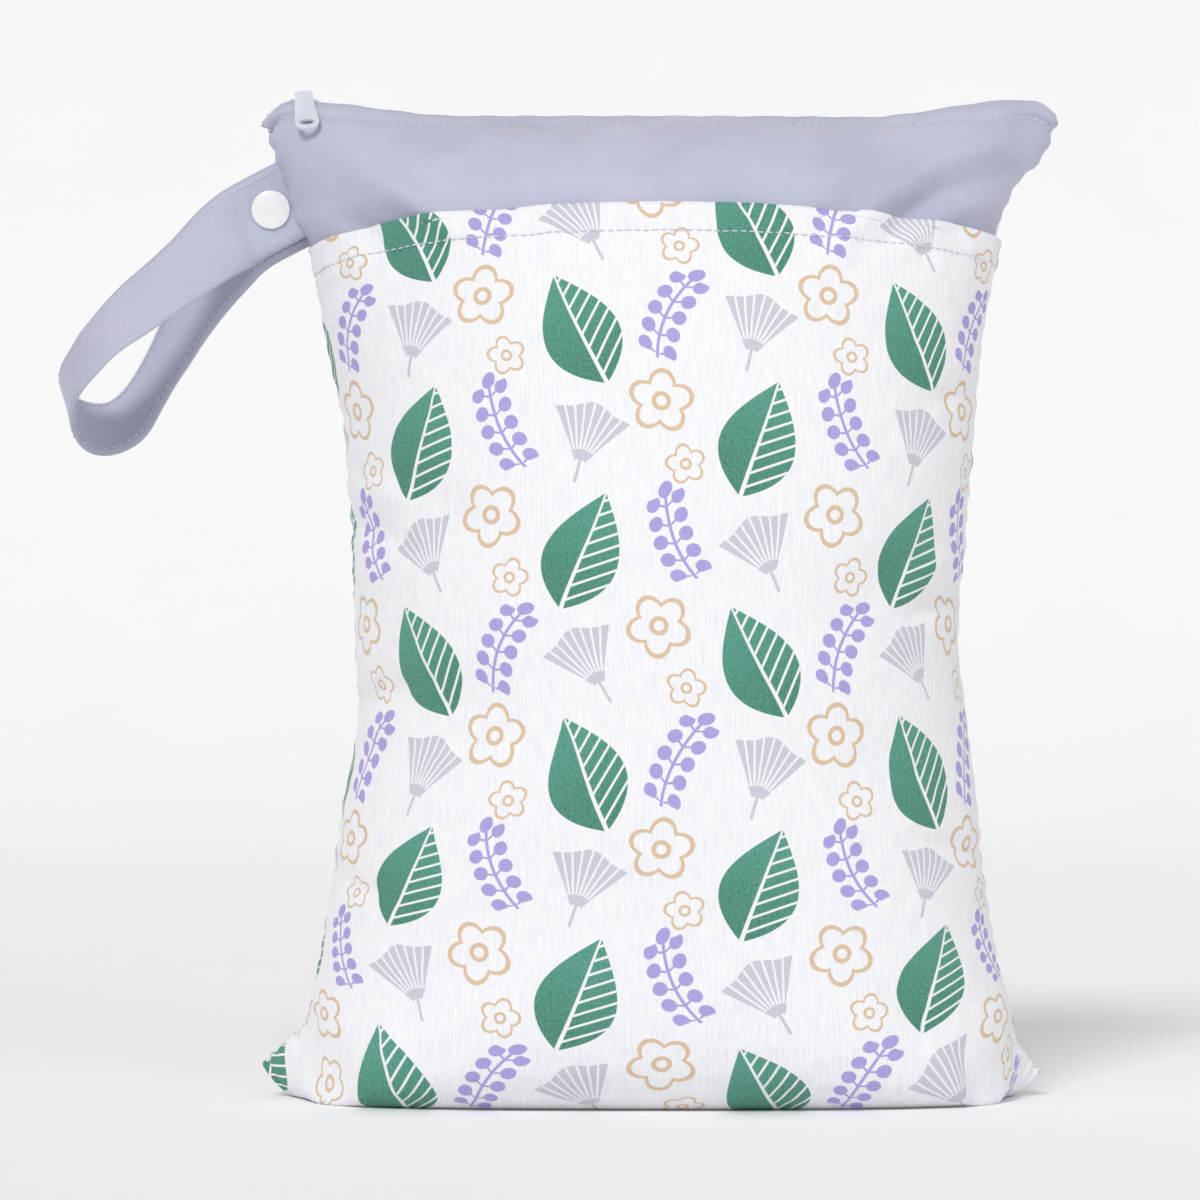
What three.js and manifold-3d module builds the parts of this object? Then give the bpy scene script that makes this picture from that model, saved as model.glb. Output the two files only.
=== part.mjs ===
// Zipped wet bag for cloth diapers, stuffed and standing, with a front pocket and a wrist strap.
// Millimetres, +Z up. The front faces -Y. The origin is the middle of the flat base.
import * as THREE from 'three';
import Module from 'manifold-3d';
import { mergeVertices } from 'three/addons/utils/BufferGeometryUtils.js';

// Size of the stuffed bag
const bagWidth = 290;
const bagHeight = 355.5;
const bagDepth = 157;
const clothHeight = 441;
const backBulge = 0.96;

// Cloth walls and the gap that sewn layers keep
const panelWall = 1.5;
const pocketWall = 1.2;
const layerGap = 0.35;
const seamGap = 0.3;
const bottomSeamShift = 6;

// Cloth directions at the seam's ears: how far inwards a layer sinks turns down there
const earSink = -0.25;

// Front pocket: how far its hemmed edge stands below the zipped top, along the cloth
const pocketDrop = 65;
const pocketArchLeft = 8.5;
const pocketArchRight = 5;
const panelRiseStart = 4.4;
const panelRiseEnd = 26.5;

// Zipped top
const topLeftRise = 5.5;
const topRightRise = 7.5;
const tipRound = 4;
const foldGap = 8.4;
const tapeWall = 0.8;
const tapeWidth = 13;
const tapeParting = 1.8;
const coilWidth = 2.2;
const coilHeight = 1.8;
const coilProud = 0.2;
const coilGap = 0.4;
const coilSpread = 0.7;

// Slider and pull: sliderInset is the distance from the bag's corner
const sliderInset = 16.7;
const sliderLength = 10.5;
const sliderWidth = 6.4;
const plateWall = 0.9;
const sliderClearance = 0.35;
const lowPlateClearance = 0.9;
const dividerLength = 2.2;
const dividerInset = 0.6;
const dividerWall = 1.0;
const bridgeLength = 6.4;
const bridgeBarRadius = 0.5;
const bridgePostWall = 0.9;
const bridgePostDepth = 1.2;
const eyeWall = 0.7;
const eyeWidth = 3;
const eyeClearance = 0.3;
const neckReach = 6.6;
const neckWidth = 3;
const pullWall = 1.2;
const pullTopWidth = 5.8;
const pullEndWidth = 8.8;
const pullLength = 20;
const pullEndRound = 4.4;
const pullHoleWidth = 5.6;
const pullHoleHeight = 2.8;
const pullHoleMargin = 2.2;
const pullLean = 42;
const pullTurn = 8;

// Wrist strap, sewn on between two places of the seam that lie strapRootHigh and strapRootLow
// below the zipped top along the cloth. The sewn end lies strapBackDrop lower than the free end.
const strapWidth = 29.5;
const strapWall = 1.8;
const strapReach = 79;
const strapDrop = 82;
const strapGape = 23;
const strapRootHigh = 27.5;
const strapRootLow = 69;
const strapBackDrop = 3;
const strapClearance = 0.85;
const strapFrontSeat = 3.9;
const strapBackSeat = 1.4;
const seatMargin = 2.7;

// Snap
const snapDiameter = 14;
const snapDome = 1.7;
const snapRim = 0.7;
const snapOut = 6.5;
const socketDiameter = 9;
const snapClearance = 0.3;

// Fineness of the faceted cloth
const clothColumns = 28;
const clothRowStep = 20;
const strapSteps = 40;
const roundSteps = 20;

const halfWidth = bagWidth / 2;
const halfDepth = bagDepth / 2;
const foldHalfGap = foldGap / 2;

// Middle line of the front panel, a row for each section from the bottom seam to the zipped top.
// cloth: share of clothHeight. out: share of halfDepth. up: share of bagHeight.
// square: how boxy the section is. level: how far across it stays level.
const sections = [
  { cloth: 0, out: 0, up: 0, square: 2.4, level: 0.9 },
  { cloth: 0.045, out: 0.255, up: 0, square: 2.6, level: 0.9 },
  { cloth: 0.09, out: 0.51, up: 0, square: 3.2, level: 0.92 },
  { cloth: 0.12, out: 0.662, up: 0.014, square: 3.2, level: 0.75 },
  { cloth: 0.157, out: 0.79, up: 0.051, square: 2.9, level: 0.5 },
  { cloth: 0.21, out: 0.866, up: 0.1125, square: 2.6, level: 0.2 },
  { cloth: 0.28, out: 0.911, up: 0.2, square: 2.4, level: 0 },
  { cloth: 0.37, out: 0.968, up: 0.309, square: 2.2, level: 0 },
  { cloth: 0.43, out: 0.987, up: 0.385, square: 2.1, level: 0 },
  { cloth: 0.495, out: 1, up: 0.464, square: 2.1, level: 0 },
  { cloth: 0.575, out: 0.994, up: 0.5626, square: 2.1, level: 0 },
  { cloth: 0.665, out: 0.949, up: 0.675, square: 2.1, level: 0 },
  { cloth: 0.757, out: 0.86, up: 0.7876, square: 2.1, level: 0 },
  { cloth: 0.83, out: 0.739, up: 0.875, square: 2.1, level: 0 },
  { cloth: 0.866, out: 0.65, up: 0.914, square: 2.1, level: 0 },
  { cloth: 0.908, out: 0.51, up: 0.956, square: 2.1, level: 0 },
  { cloth: 0.94, out: 0.36, up: 0.98, square: 2.3, level: 0 },
  { cloth: 0.97, out: 0.18, up: 0.993, square: 3, level: 0 },
  { cloth: 1, out: 0, up: 1, square: 10, level: 0 },
];

// Side seams. cloth: share of clothHeight. left, right: shares of halfWidth.
// leftUp, rightUp: shares of bagHeight.
const sideSeams = [
  { cloth: 0, left: 1, leftUp: 0.033, right: 0.972, rightUp: 0.025 },
  { cloth: 0.045, left: 0.959, leftUp: 0.049, right: 0.934, rightUp: 0.044 },
  { cloth: 0.09, left: 0.903, leftUp: 0.066, right: 0.903, rightUp: 0.056 },
  { cloth: 0.12, left: 0.872, leftUp: 0.079, right: 0.886, rightUp: 0.073 },
  { cloth: 0.157, left: 0.862, leftUp: 0.101, right: 0.876, rightUp: 0.098 },
  { cloth: 0.21, left: 0.838, leftUp: 0.146, right: 0.848, rightUp: 0.141 },
  { cloth: 0.28, left: 0.815, leftUp: 0.214, right: 0.821, rightUp: 0.208 },
  { cloth: 0.37, left: 0.783, leftUp: 0.309, right: 0.8, rightUp: 0.304 },
  { cloth: 0.43, left: 0.752, leftUp: 0.385, right: 0.777, rightUp: 0.385 },
  { cloth: 0.495, left: 0.757, leftUp: 0.4655, right: 0.757, rightUp: 0.4655 },
  { cloth: 0.575, left: 0.765, leftUp: 0.56, right: 0.772, rightUp: 0.56 },
  { cloth: 0.665, left: 0.781, leftUp: 0.6695, right: 0.793, rightUp: 0.6695 },
  { cloth: 0.757, left: 0.834, leftUp: 0.779, right: 0.817, rightUp: 0.779 },
  { cloth: 0.83, left: 0.866, leftUp: 0.858, right: 0.852, rightUp: 0.861 },
  { cloth: 0.866, left: 0.908, leftUp: 0.8945, right: 0.862, rightUp: 0.897 },
  { cloth: 0.908, left: 0.938, leftUp: 0.931, right: 0.906, rightUp: 0.931 },
  { cloth: 0.94, left: 0.962, leftUp: 0.958, right: 0.9655, rightUp: 0.952 },
  { cloth: 0.97, left: 0.979, leftUp: 0.982, right: 0.993, rightUp: 0.976 },
  { cloth: 1, left: 0.983, leftUp: 1, right: 1, rightUp: 0.995 },
];

// Stretches of the cloth over which a form grows or dies away: shares of clothHeight
const topOpening = { from: 0.86, to: 1 };
const earEnd = { from: 0, to: 0.05 };
const topEnd = { from: 0.93, to: 1 };
const baseEnd = { from: 0, to: 0.09 };
const dentStart = { from: 0.1, to: 0.2 };
const dentEnd = { from: 0.96, to: 1 };
const backBulgeStart = { from: 0.1, to: 0.3 };
const backBulgeEnd = { from: 0.8, to: 0.95 };
const cornerStretch = { from: 0.87, to: 1 };

// Stretches across the bag, from its middle to the seam: shares of halfWidth
const cornerRiseAcross = { from: 0.5, to: 0.93 };
const tipRoundAcross = { from: 0.95, to: 1 };

// Folds and dents. across: share of the half width from the middle, up: share of clothHeight,
// length and breadth: shares of clothHeight, turn: degrees from across, rise: share of halfDepth.
const frontFolds = [
  { across: -0.72, up: 0.9, length: 0.11, breadth: 0.03, turn: -48, rise: 0.05 },
  { across: -0.86, up: 0.87, length: 0.08, breadth: 0.026, turn: -60, rise: -0.05 },
  { across: 0.74, up: 0.905, length: 0.1, breadth: 0.03, turn: 44, rise: 0.05 },
  { across: 0.86, up: 0.86, length: 0.08, breadth: 0.028, turn: 50, rise: -0.045 },
  { across: -0.74, up: 0.6, length: 0.075, breadth: 0.028, turn: -12, rise: -0.075 },
  { across: -0.72, up: 0.44, length: 0.08, breadth: 0.03, turn: 16, rise: -0.075 },
  { across: 0.75, up: 0.54, length: 0.08, breadth: 0.03, turn: 14, rise: -0.07 },
  { across: 0.66, up: 0.37, length: 0.11, breadth: 0.032, turn: -24, rise: -0.06 },
  { across: -0.76, up: 0.2, length: 0.09, breadth: 0.03, turn: 52, rise: -0.06 },
  { across: 0.78, up: 0.19, length: 0.09, breadth: 0.03, turn: -50, rise: -0.06 },
  { across: 0.1, up: 0.965, length: 0.16, breadth: 0.03, turn: 3, rise: -0.03 },
];
const backFolds = [
  { across: -0.7, up: 0.88, length: 0.12, breadth: 0.034, turn: -40, rise: 0.05 },
  { across: 0.72, up: 0.87, length: 0.12, breadth: 0.034, turn: 42, rise: 0.05 },
  { across: -0.72, up: 0.52, length: 0.09, breadth: 0.032, turn: 10, rise: -0.07 },
  { across: 0.74, up: 0.46, length: 0.09, breadth: 0.032, turn: -14, rise: -0.07 },
  { across: 0.74, up: 0.62, length: 0.08, breadth: 0.03, turn: 10, rise: -0.06 },
  { across: -0.74, up: 0.2, length: 0.1, breadth: 0.032, turn: 50, rise: -0.06 },
  { across: 0.76, up: 0.2, length: 0.1, breadth: 0.032, turn: -50, rise: -0.06 },
];

// The strap's middle line, from its free end in front, round the loop and back to the seam.
// out: share of strapReach. down: share of strapDrop. back: share of strapGape.
// turn: degrees of the width from straight down, lean: degrees of its lower edge to the front.
const strapStations = [
  { out: 0.4, down: 0.275, back: -0.62, turn: 37, lean: 33 },
  { out: 0.632, down: 0.453, back: -0.8, turn: 40, lean: 41 },
  { out: 0.858, down: 0.64, back: -0.74, turn: 45, lean: 54 },
  { out: 1, down: 0.82, back: -0.35, turn: 36, lean: 62 },
  { out: 0.995, down: 0.95, back: 0.17, turn: 16, lean: 54 },
  { out: 0.905, down: 0.995, back: 0.57, turn: 8, lean: 47 },
  { out: 0.785, down: 0.96, back: 0.83, turn: 16, lean: 47 },
  { out: 0.7, down: 0.865, back: 0.96, turn: 32, lean: 51 },
  { out: 0.62, down: 0.738, back: 1, turn: 48, lean: 53 },
  { out: 0.505, down: 0.55, back: 0.92, turn: 53, lean: 47 },
  { out: 0.368, down: 0.34, back: 0.68, turn: 46, lean: 36 },
];
const seatSlope = { out: 0.89, down: 0.455 };
const seatShares = [0.45, 0.85, 1];

const colours = {
  greyCloth: 0xbfc1d4,
  printCloth: 0xeeeff4,
  zip: 0xe3e3ee,
  zipMetal: 0xced7e3,
  snap: 0xfafafc,
};

const wasm = await Module();
wasm.setup();

// Smooth step from 0 at a stretch's start to 1 at its end
function ease(stretch, value) {
  const share = Math.min(1, Math.max(0, (value - stretch.from) / (stretch.to - stretch.from)));
  return share * share * (3 - 2 * share);
}

function mix(first, second, share) {
  return first + (second - first) * share;
}

// Smooth curve through a table's column that never swings past its values
function curveThrough(table, key, column) {
  const keys = table.map((row) => row[key]);
  const values = table.map((row) => row[column]);
  const slopes = keys.slice(1).map((place, index) => {
    return (values[index + 1] - values[index]) / (place - keys[index]);
  });
  const tangents = keys.map((place, index) => {
    if (index === 0) return slopes[0];
    if (index === keys.length - 1) return slopes[index - 1];
    const before = slopes[index - 1];
    const after = slopes[index];
    return before * after <= 0 ? 0 : (2 * before * after) / (before + after);
  });
  return (place) => {
    let index = 0;
    while (index < keys.length - 2 && place > keys[index + 1]) index += 1;
    const span = keys[index + 1] - keys[index];
    const share = (place - keys[index]) / span;
    const square = share * share;
    const cube = square * share;
    const towardsNext = 3 * square - 2 * cube;
    const fromValues = mix(values[index], values[index + 1], towardsNext);
    const fromStart = (cube - 2 * square + share) * span * tangents[index];
    const fromEnd = (cube - square) * span * tangents[index + 1];
    return fromValues + fromStart + fromEnd;
  };
}

const section = {};
for (const column of ['out', 'up', 'square', 'level']) {
  section[column] = curveThrough(sections, 'cloth', column);
}
for (const column of ['left', 'leftUp', 'right', 'rightUp']) {
  section[column] = curveThrough(sideSeams, 'cloth', column);
}

// Middle line of a panel: distance out from the seam plane and height
function middleLine(cloth) {
  const out = halfDepth * section.out(cloth) + foldHalfGap * ease(topOpening, cloth);
  return new THREE.Vector2(out, bagHeight * section.up(cloth));
}

// Side seam of the left (-1) or right (+1) side: distance out from the middle and height
function sideSeam(side, cloth) {
  const across = side < 0 ? section.left(cloth) : section.right(cloth);
  const up = side < 0 ? section.leftUp(cloth) : section.rightUp(cloth);
  return new THREE.Vector2(halfWidth * across, bagHeight * up);
}

const slopeStep = 0.004;

// Direction out of the cloth on a line of (out, height) points that runs upwards
function outward(line, cloth) {
  const before = line(Math.max(0, cloth - slopeStep));
  const after = line(Math.min(1, cloth + slopeStep));
  const along = after.sub(before).normalize();
  return new THREE.Vector2(along.y, -along.x);
}

function sunkMiddle(cloth, depth) {
  const point = middleLine(cloth);
  const normal = outward(middleLine, cloth);
  return point.addScaledVector(normal, -depth);
}

function sunkSeam(side, cloth, depth) {
  const line = (place) => sideSeam(side, place);
  const normal = outward(line, cloth);
  const nearEar = 1 - ease(earEnd, cloth);
  const nearTop = ease(topEnd, cloth);
  normal.y = mix(normal.y, earSink, nearEar);
  normal.y = mix(normal.y, 1, nearTop);
  normal.x = mix(normal.x, 1, Math.max(nearEar, nearTop));
  return line(cloth).addScaledVector(normal, -depth);
}

// How sharply folds die away at the side seams
const sideFade = 6;

// Height of folds and dents at a place on the cloth
function foldHeight(folds, across, cloth) {
  let height = 0;
  for (const fold of folds) {
    const turn = THREE.MathUtils.degToRad(fold.turn);
    const dx = (across - fold.across) * halfWidth;
    const dy = (cloth - fold.up) * clothHeight;
    const along = (dx * Math.cos(turn) + dy * Math.sin(turn)) / (fold.length * clothHeight);
    const beside = (dy * Math.cos(turn) - dx * Math.sin(turn)) / (fold.breadth * clothHeight);
    height += fold.rise * halfDepth * Math.exp(-along * along - beside * beside);
  }
  const offSides = 1 - Math.abs(across) ** sideFade;
  const offBase = ease(dentStart, cloth);
  const offTop = 1 - ease(dentEnd, cloth);
  return height * offSides * offBase * offTop;
}

// A point of the bag's skin. face: -1 front, +1 back. across: -1 left seam to 1 right seam,
// cloth: 0 bottom seam to 1 zipped top. depth: how far below the outermost surface it lies.
function skinPoint(face, across, cloth, depth) {
  const folds = face < 0 ? frontFolds : backFolds;
  const middle = sunkMiddle(cloth, depth);
  const left = sunkSeam(-1, cloth, depth);
  const right = sunkSeam(1, cloth, depth);
  const share = Math.sin((across * Math.PI) / 2);
  const off = Math.abs(share);
  const centre = (right.x - left.x) / 2;
  const half = (right.x + left.x) / 2;
  const level = section.level(cloth);
  const square = section.square(cloth);
  const seamUp = share < 0 ? left.y : right.y;
  const lift = Math.max(0, (off - level) / (1 - level)) ** 2;
  const round = (1 - off ** square) ** (1 / square);
  const bulging = ease(backBulgeStart, cloth) * (1 - ease(backBulgeEnd, cloth));
  const bulge = face < 0 ? 1 : mix(1, backBulge, bulging);
  const out = middle.x * bulge * round + foldHeight(folds, share, cloth) * round;
  const seamLine = bottomSeamShift * (1 - ease(baseEnd, cloth)) * (1 - off * off);
  const cornerRise = share < 0 ? topLeftRise : topRightRise;
  const ridge = cornerRise * ease(cornerRiseAcross, off) - tipRound * ease(tipRoundAcross, off);
  const height = mix(middle.y, seamUp, lift) + ridge * ease(cornerStretch, cloth);
  return new THREE.Vector3(centre + half * share, seamLine + face * (seamGap / 2 + out), height);
}

// Closed wall between an outer and an inner grid of points
function wallGeometry(columns, rows, outerPoint, innerPoint) {
  const positions = [];
  const indices = [];
  const stride = columns + 1;
  const layer = stride * (rows + 1);
  for (const point of [outerPoint, innerPoint]) {
    for (let row = 0; row <= rows; row += 1) {
      for (let column = 0; column <= columns; column += 1) {
        positions.push(...point(column, row).toArray());
      }
    }
  }
  const addQuad = (a, b, c, d) => indices.push(a, b, c, a, c, d);
  for (let row = 0; row < rows; row += 1) {
    for (let column = 0; column < columns; column += 1) {
      const corner = row * stride + column;
      addQuad(corner, corner + 1, corner + stride + 1, corner + stride);
      const inner = corner + layer;
      indices.push(inner, inner + stride + 1, inner + 1, inner, inner + stride, inner + stride + 1);
    }
  }
  const rim = [];
  for (let column = 0; column < columns; column += 1) rim.push(column);
  for (let row = 0; row < rows; row += 1) rim.push(row * stride + columns);
  for (let column = columns; column > 0; column -= 1) rim.push(rows * stride + column);
  for (let row = rows; row > 0; row -= 1) rim.push(row * stride);
  rim.forEach((corner, index) => {
    const next = rim[(index + 1) % rim.length];
    addQuad(next, corner, corner + layer, next + layer);
  });
  const geometry = new THREE.BufferGeometry();
  geometry.setAttribute('position', new THREE.Float32BufferAttribute(positions, 3));
  geometry.setIndex(facingOut(positions, indices));
  geometry.computeVertexNormals();
  return geometry;
}

// Turns all triangles round when they enclose a negative volume
function facingOut(positions, indices) {
  const corner = (index) => new THREE.Vector3().fromArray(positions, index * 3);
  let volume = 0;
  for (let index = 0; index < indices.length; index += 3) {
    const [a, b, c] = [0, 1, 2].map((offset) => corner(indices[index + offset]));
    volume += a.dot(b.cross(c));
  }
  if (volume > 0) return indices;
  const turned = [];
  for (let index = 0; index < indices.length; index += 3) {
    turned.push(indices[index], indices[index + 2], indices[index + 1]);
  }
  return turned;
}

function toSolid(geometry) {
  const bare = geometry.clone();
  for (const name of Object.keys(bare.attributes)) {
    if (name !== 'position') bare.deleteAttribute(name);
  }
  const merged = mergeVertices(bare, 1e-4);
  const vertProperties = Float32Array.from(merged.attributes.position.array);
  const triVerts = Uint32Array.from(merged.index.array);
  return new wasm.Manifold(new wasm.Mesh({ numProp: 3, vertProperties, triVerts }));
}

function toGeometry(solid) {
  const mesh = solid.getMesh();
  const geometry = new THREE.BufferGeometry();
  geometry.setAttribute('position', new THREE.Float32BufferAttribute(mesh.vertProperties, 3));
  geometry.setIndex(Array.from(mesh.triVerts));
  geometry.computeVertexNormals();
  return geometry;
}

function joined(geometries) {
  return toGeometry(geometries.map(toSolid).reduce((whole, piece) => whole.add(piece)));
}

function extrude(outline, depth, curveSegments) {
  return new THREE.ExtrudeGeometry(outline, { depth, curveSegments, bevelEnabled: false });
}

function box(sizeX, sizeY, sizeZ, x, y, z) {
  const geometry = new THREE.BoxGeometry(sizeX, sizeY, sizeZ);
  geometry.translate(x, y, z);
  return geometry;
}

// Rows along the cloth, closer together where the sections are, with one at the tape's lower edge
const tapeEdge = 1 - tapeWidth / clothHeight;
const clothRows = [0];
for (let index = 1; index < sections.length; index += 1) {
  const from = sections[index - 1].cloth;
  const to = sections[index].cloth;
  const steps = Math.max(1, Math.round(((to - from) * clothHeight) / clothRowStep));
  for (let step = 1; step <= steps; step += 1) clothRows.push(mix(from, to, step / steps));
}
const tapeRow = clothRows.length - 2;
clothRows[tapeRow] = tapeEdge;

// The pocket's hemmed edge takes the row nearest to it, and the rows beside it move along
const pocketTop = 1 - pocketDrop / clothHeight;
const pocketRow = clothRows.findIndex((cloth, row) => {
  const next = clothRows[row + 1] ?? 1;
  return Math.abs(cloth - pocketTop) <= Math.abs(next - pocketTop);
});

function pocketEdge(across) {
  const drop = across < 0 ? pocketArchLeft : pocketArchRight;
  return pocketTop - (drop / clothHeight) * Math.abs(across) ** 3;
}

function frontCloth(across, row) {
  const edge = pocketEdge(across);
  const rowAtEdge = clothRows[pocketRow];
  const cloth = clothRows[row];
  if (row <= pocketRow) return (edge * cloth) / rowAtEdge;
  return mix(edge, 1, (cloth - rowAtEdge) / (1 - rowAtEdge));
}

function acrossAt(column) {
  return mix(-1, 1, column / clothColumns);
}

// Behind the pocket the front panel lies deeper, and it comes out above the pocket's edge
function frontPanelDepth(across, cloth) {
  const edge = pocketEdge(across);
  const rise = { from: edge + panelRiseStart / clothHeight, to: edge + panelRiseEnd / clothHeight };
  return (pocketWall + layerGap) * (1 - ease(rise, cloth));
}

function frontPanel() {
  const point = (extra) => (column, row) => {
    const across = acrossAt(column);
    const cloth = frontCloth(across, row);
    return skinPoint(-1, across, cloth, frontPanelDepth(across, cloth) + extra);
  };
  return wallGeometry(clothColumns, clothRows.length - 1, point(0), point(panelWall));
}

function backPanel() {
  const point = (depth) => (column, row) => skinPoint(1, acrossAt(column), clothRows[row], depth);
  return wallGeometry(clothColumns, clothRows.length - 1, point(0), point(panelWall));
}

function frontPocket() {
  const point = (depth) => (column, row) => {
    const across = acrossAt(column);
    return skinPoint(-1, across, frontCloth(across, row), depth);
  };
  return wallGeometry(clothColumns, pocketRow, point(0), point(pocketWall));
}

// Zip tape: down behind the panel, up to the folded edge and across to the teeth
function zipTape(face) {
  const lastRow = clothRows.length - 1;
  const point = (depth) => (column, row) => {
    const across = acrossAt(column + 1);
    const panelRow = Math.min(lastRow, tapeRow + row);
    const cloth = face < 0 ? frontCloth(across, panelRow) : clothRows[panelRow];
    const place = skinPoint(face, across, cloth, depth);
    if (tapeRow + row > lastRow) place.y = (face * tapeParting) / 2;
    return place;
  };
  const outer = panelWall + layerGap;
  return wallGeometry(clothColumns - 2, lastRow - tapeRow + 1, point(outer), point(outer + tapeWall));
}

// Height of the folded edge over a place along the zip
function ridgePoint(x) {
  const left = skinPoint(-1, -1, 1, 0).x;
  const right = skinPoint(-1, 1, 1, 0).x;
  const share = (x - (left + right) / 2) / ((right - left) / 2);
  return skinPoint(-1, (Math.asin(share) * 2) / Math.PI, 1, 0);
}

const sliderX = sliderInset - halfWidth;

// Where the strands part inside the slider: shares of its length from its middle
const partedAt = { from: -0.18, to: 0.05 };

// One of the two strands of teeth, parted where the slider has passed
function zipCoil(face) {
  const parting = { from: sliderX + sliderLength * partedAt.from, to: sliderX + sliderLength * partedAt.to };
  const places = [parting.from, parting.to];
  for (let column = 2; column < clothColumns - 1; column += 1) {
    places.push(skinPoint(-1, acrossAt(column), 1, 0).x);
  }
  places.sort((first, second) => first - second);
  const point = (lift) => (column, row) => {
    const ridge = ridgePoint(places[row]);
    const spread = coilSpread * (1 - ease(parting, places[row]));
    const inner = coilGap / 2 + spread + column * coilWidth;
    return new THREE.Vector3(ridge.x, face * inner, ridge.z + coilProud - lift);
  };
  return wallGeometry(1, places.length - 1, point(0), point(coilHeight));
}

const sliderRidge = ridgePoint(sliderX);
const topPlateLow = sliderRidge.z + coilProud + sliderClearance;
const lowPlateTop = sliderRidge.z - panelWall - layerGap - tapeWall - lowPlateClearance;
const barHeight = topPlateLow + plateWall + 2 * eyeClearance + eyeWall + bridgeBarRadius;

// Shares of sliderWidth: length of its rounded nose, half width of its narrow end
const noseShare = 0.42;
const tailShare = 0.4;

// Plate with a rounded nose at its parted end
function sliderPlate(z) {
  const nose = sliderWidth * noseShare;
  const outline = new THREE.Shape();
  outline.moveTo(sliderLength / 2, -sliderWidth * tailShare);
  outline.lineTo(sliderLength / 2, sliderWidth * tailShare);
  outline.lineTo(sliderLength / 2 - nose, sliderWidth / 2);
  outline.lineTo(nose - sliderLength / 2, sliderWidth / 2);
  outline.quadraticCurveTo(-sliderLength / 2, sliderWidth / 2, -sliderLength / 2, 0);
  outline.quadraticCurveTo(-sliderLength / 2, -sliderWidth / 2, nose - sliderLength / 2, -sliderWidth / 2);
  outline.lineTo(sliderLength / 2 - nose, -sliderWidth / 2);
  const plate = extrude(outline, plateWall, 4);
  plate.translate(sliderX, 0, z);
  return plate;
}

function zipSlider() {
  const dividerHeight = topPlateLow - lowPlateTop + plateWall;
  const dividerX = sliderX - sliderLength / 2 + dividerInset + dividerLength / 2;
  const dividerZ = (topPlateLow + lowPlateTop) / 2;
  const divider = box(dividerLength, dividerWall, dividerHeight, dividerX, 0, dividerZ);
  const bar = new THREE.CylinderGeometry(bridgeBarRadius, bridgeBarRadius, bridgeLength, 8);
  bar.rotateZ(Math.PI / 2);
  bar.translate(sliderX, 0, barHeight);
  const postLow = topPlateLow + plateWall / 2;
  const postHeight = barHeight - postLow + bridgeBarRadius / 2;
  const posts = [-1, 1].map((end) => {
    const x = sliderX + (end * (bridgeLength - bridgePostWall)) / 2;
    return box(bridgePostWall, bridgePostDepth, postHeight, x, 0, postLow + postHeight / 2);
  });
  return joined([sliderPlate(topPlateLow), sliderPlate(lowPlateTop - plateWall), divider, bar, ...posts]);
}

// Flat pull with an eye round the bridge's bar, bent over the folded edge to hang in front
function zipPull() {
  const eyeRadius = bridgeBarRadius + eyeClearance;
  const ring = new THREE.Shape();
  ring.absarc(0, 0, eyeRadius + eyeWall, 0, Math.PI * 2);
  ring.holes.push(new THREE.Path().absarc(0, 0, eyeRadius, 0, Math.PI * 2, true));
  const eye = extrude(ring, eyeWidth, 7);
  eye.translate(0, 0, -eyeWidth / 2);
  eye.rotateY(Math.PI / 2);
  eye.translate(sliderX, 0, barHeight);
  const neckInner = eyeRadius + eyeWall / 2;
  const neckLength = neckReach - neckInner;
  const neckLow = barHeight - eyeRadius - eyeWall;
  const neckY = -neckInner - neckLength / 2;
  const neck = box(neckWidth, neckLength, pullWall, sliderX, neckY, neckLow + pullWall / 2);
  const endLength = pullLength - pullEndRound;
  const tab = new THREE.Shape();
  tab.moveTo(-pullTopWidth / 2, 0);
  tab.lineTo(-pullEndWidth / 2, -endLength);
  tab.quadraticCurveTo(-pullEndWidth / 2, -pullLength, 0, -pullLength);
  tab.quadraticCurveTo(pullEndWidth / 2, -pullLength, pullEndWidth / 2, -endLength);
  tab.lineTo(pullTopWidth / 2, 0);
  const holeY = -pullLength + pullHoleMargin + pullHoleHeight / 2;
  const hole = new THREE.Path();
  hole.absellipse(0, holeY, pullHoleWidth / 2, pullHoleHeight / 2, 0, Math.PI * 2, true);
  tab.holes.push(hole);
  const plate = extrude(tab, pullWall, 8);
  plate.rotateZ(THREE.MathUtils.degToRad(pullTurn));
  plate.rotateX(Math.PI / 2);
  plate.rotateX(-THREE.MathUtils.degToRad(pullLean));
  plate.translate(sliderX, pullWall / 2 - neckReach, neckLow + pullWall);
  return joined([eye, neck, plate]);
}

// The strap's place on the left side seam
const rootHigh = sideSeam(-1, 1 - strapRootHigh / clothHeight);
const rootLow = sideSeam(-1, 1 - strapRootLow / clothHeight);
const rootTop = new THREE.Vector3(-rootHigh.x, 0, rootHigh.y);
const rootBottom = new THREE.Vector3(-rootLow.x, 0, rootLow.y);
const rootMiddle = rootTop.clone().add(rootBottom).multiplyScalar(0.5);
rootMiddle.x -= strapClearance;
const rootWidth = rootBottom.clone().sub(rootTop).normalize();

// Both ends stay flat under the snap, one in front of the other
const seatLength = snapOut + snapDiameter / 2 + seatMargin;
const seatDirection = new THREE.Vector3(-seatSlope.out, 0, -seatSlope.down).normalize();
const seatWidth = new THREE.Vector3(-seatDirection.z, 0, seatDirection.x);

function seatStations(y, drop) {
  const start = rootMiddle.clone().addScaledVector(rootWidth, drop);
  const at = (length) => start.clone().addScaledVector(seatDirection, length).setY(y);
  const root = { point: at(0), width: rootWidth.clone() };
  return [root, ...seatShares.map((share) => ({ point: at(seatLength * share), width: seatWidth.clone() }))];
}

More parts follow.
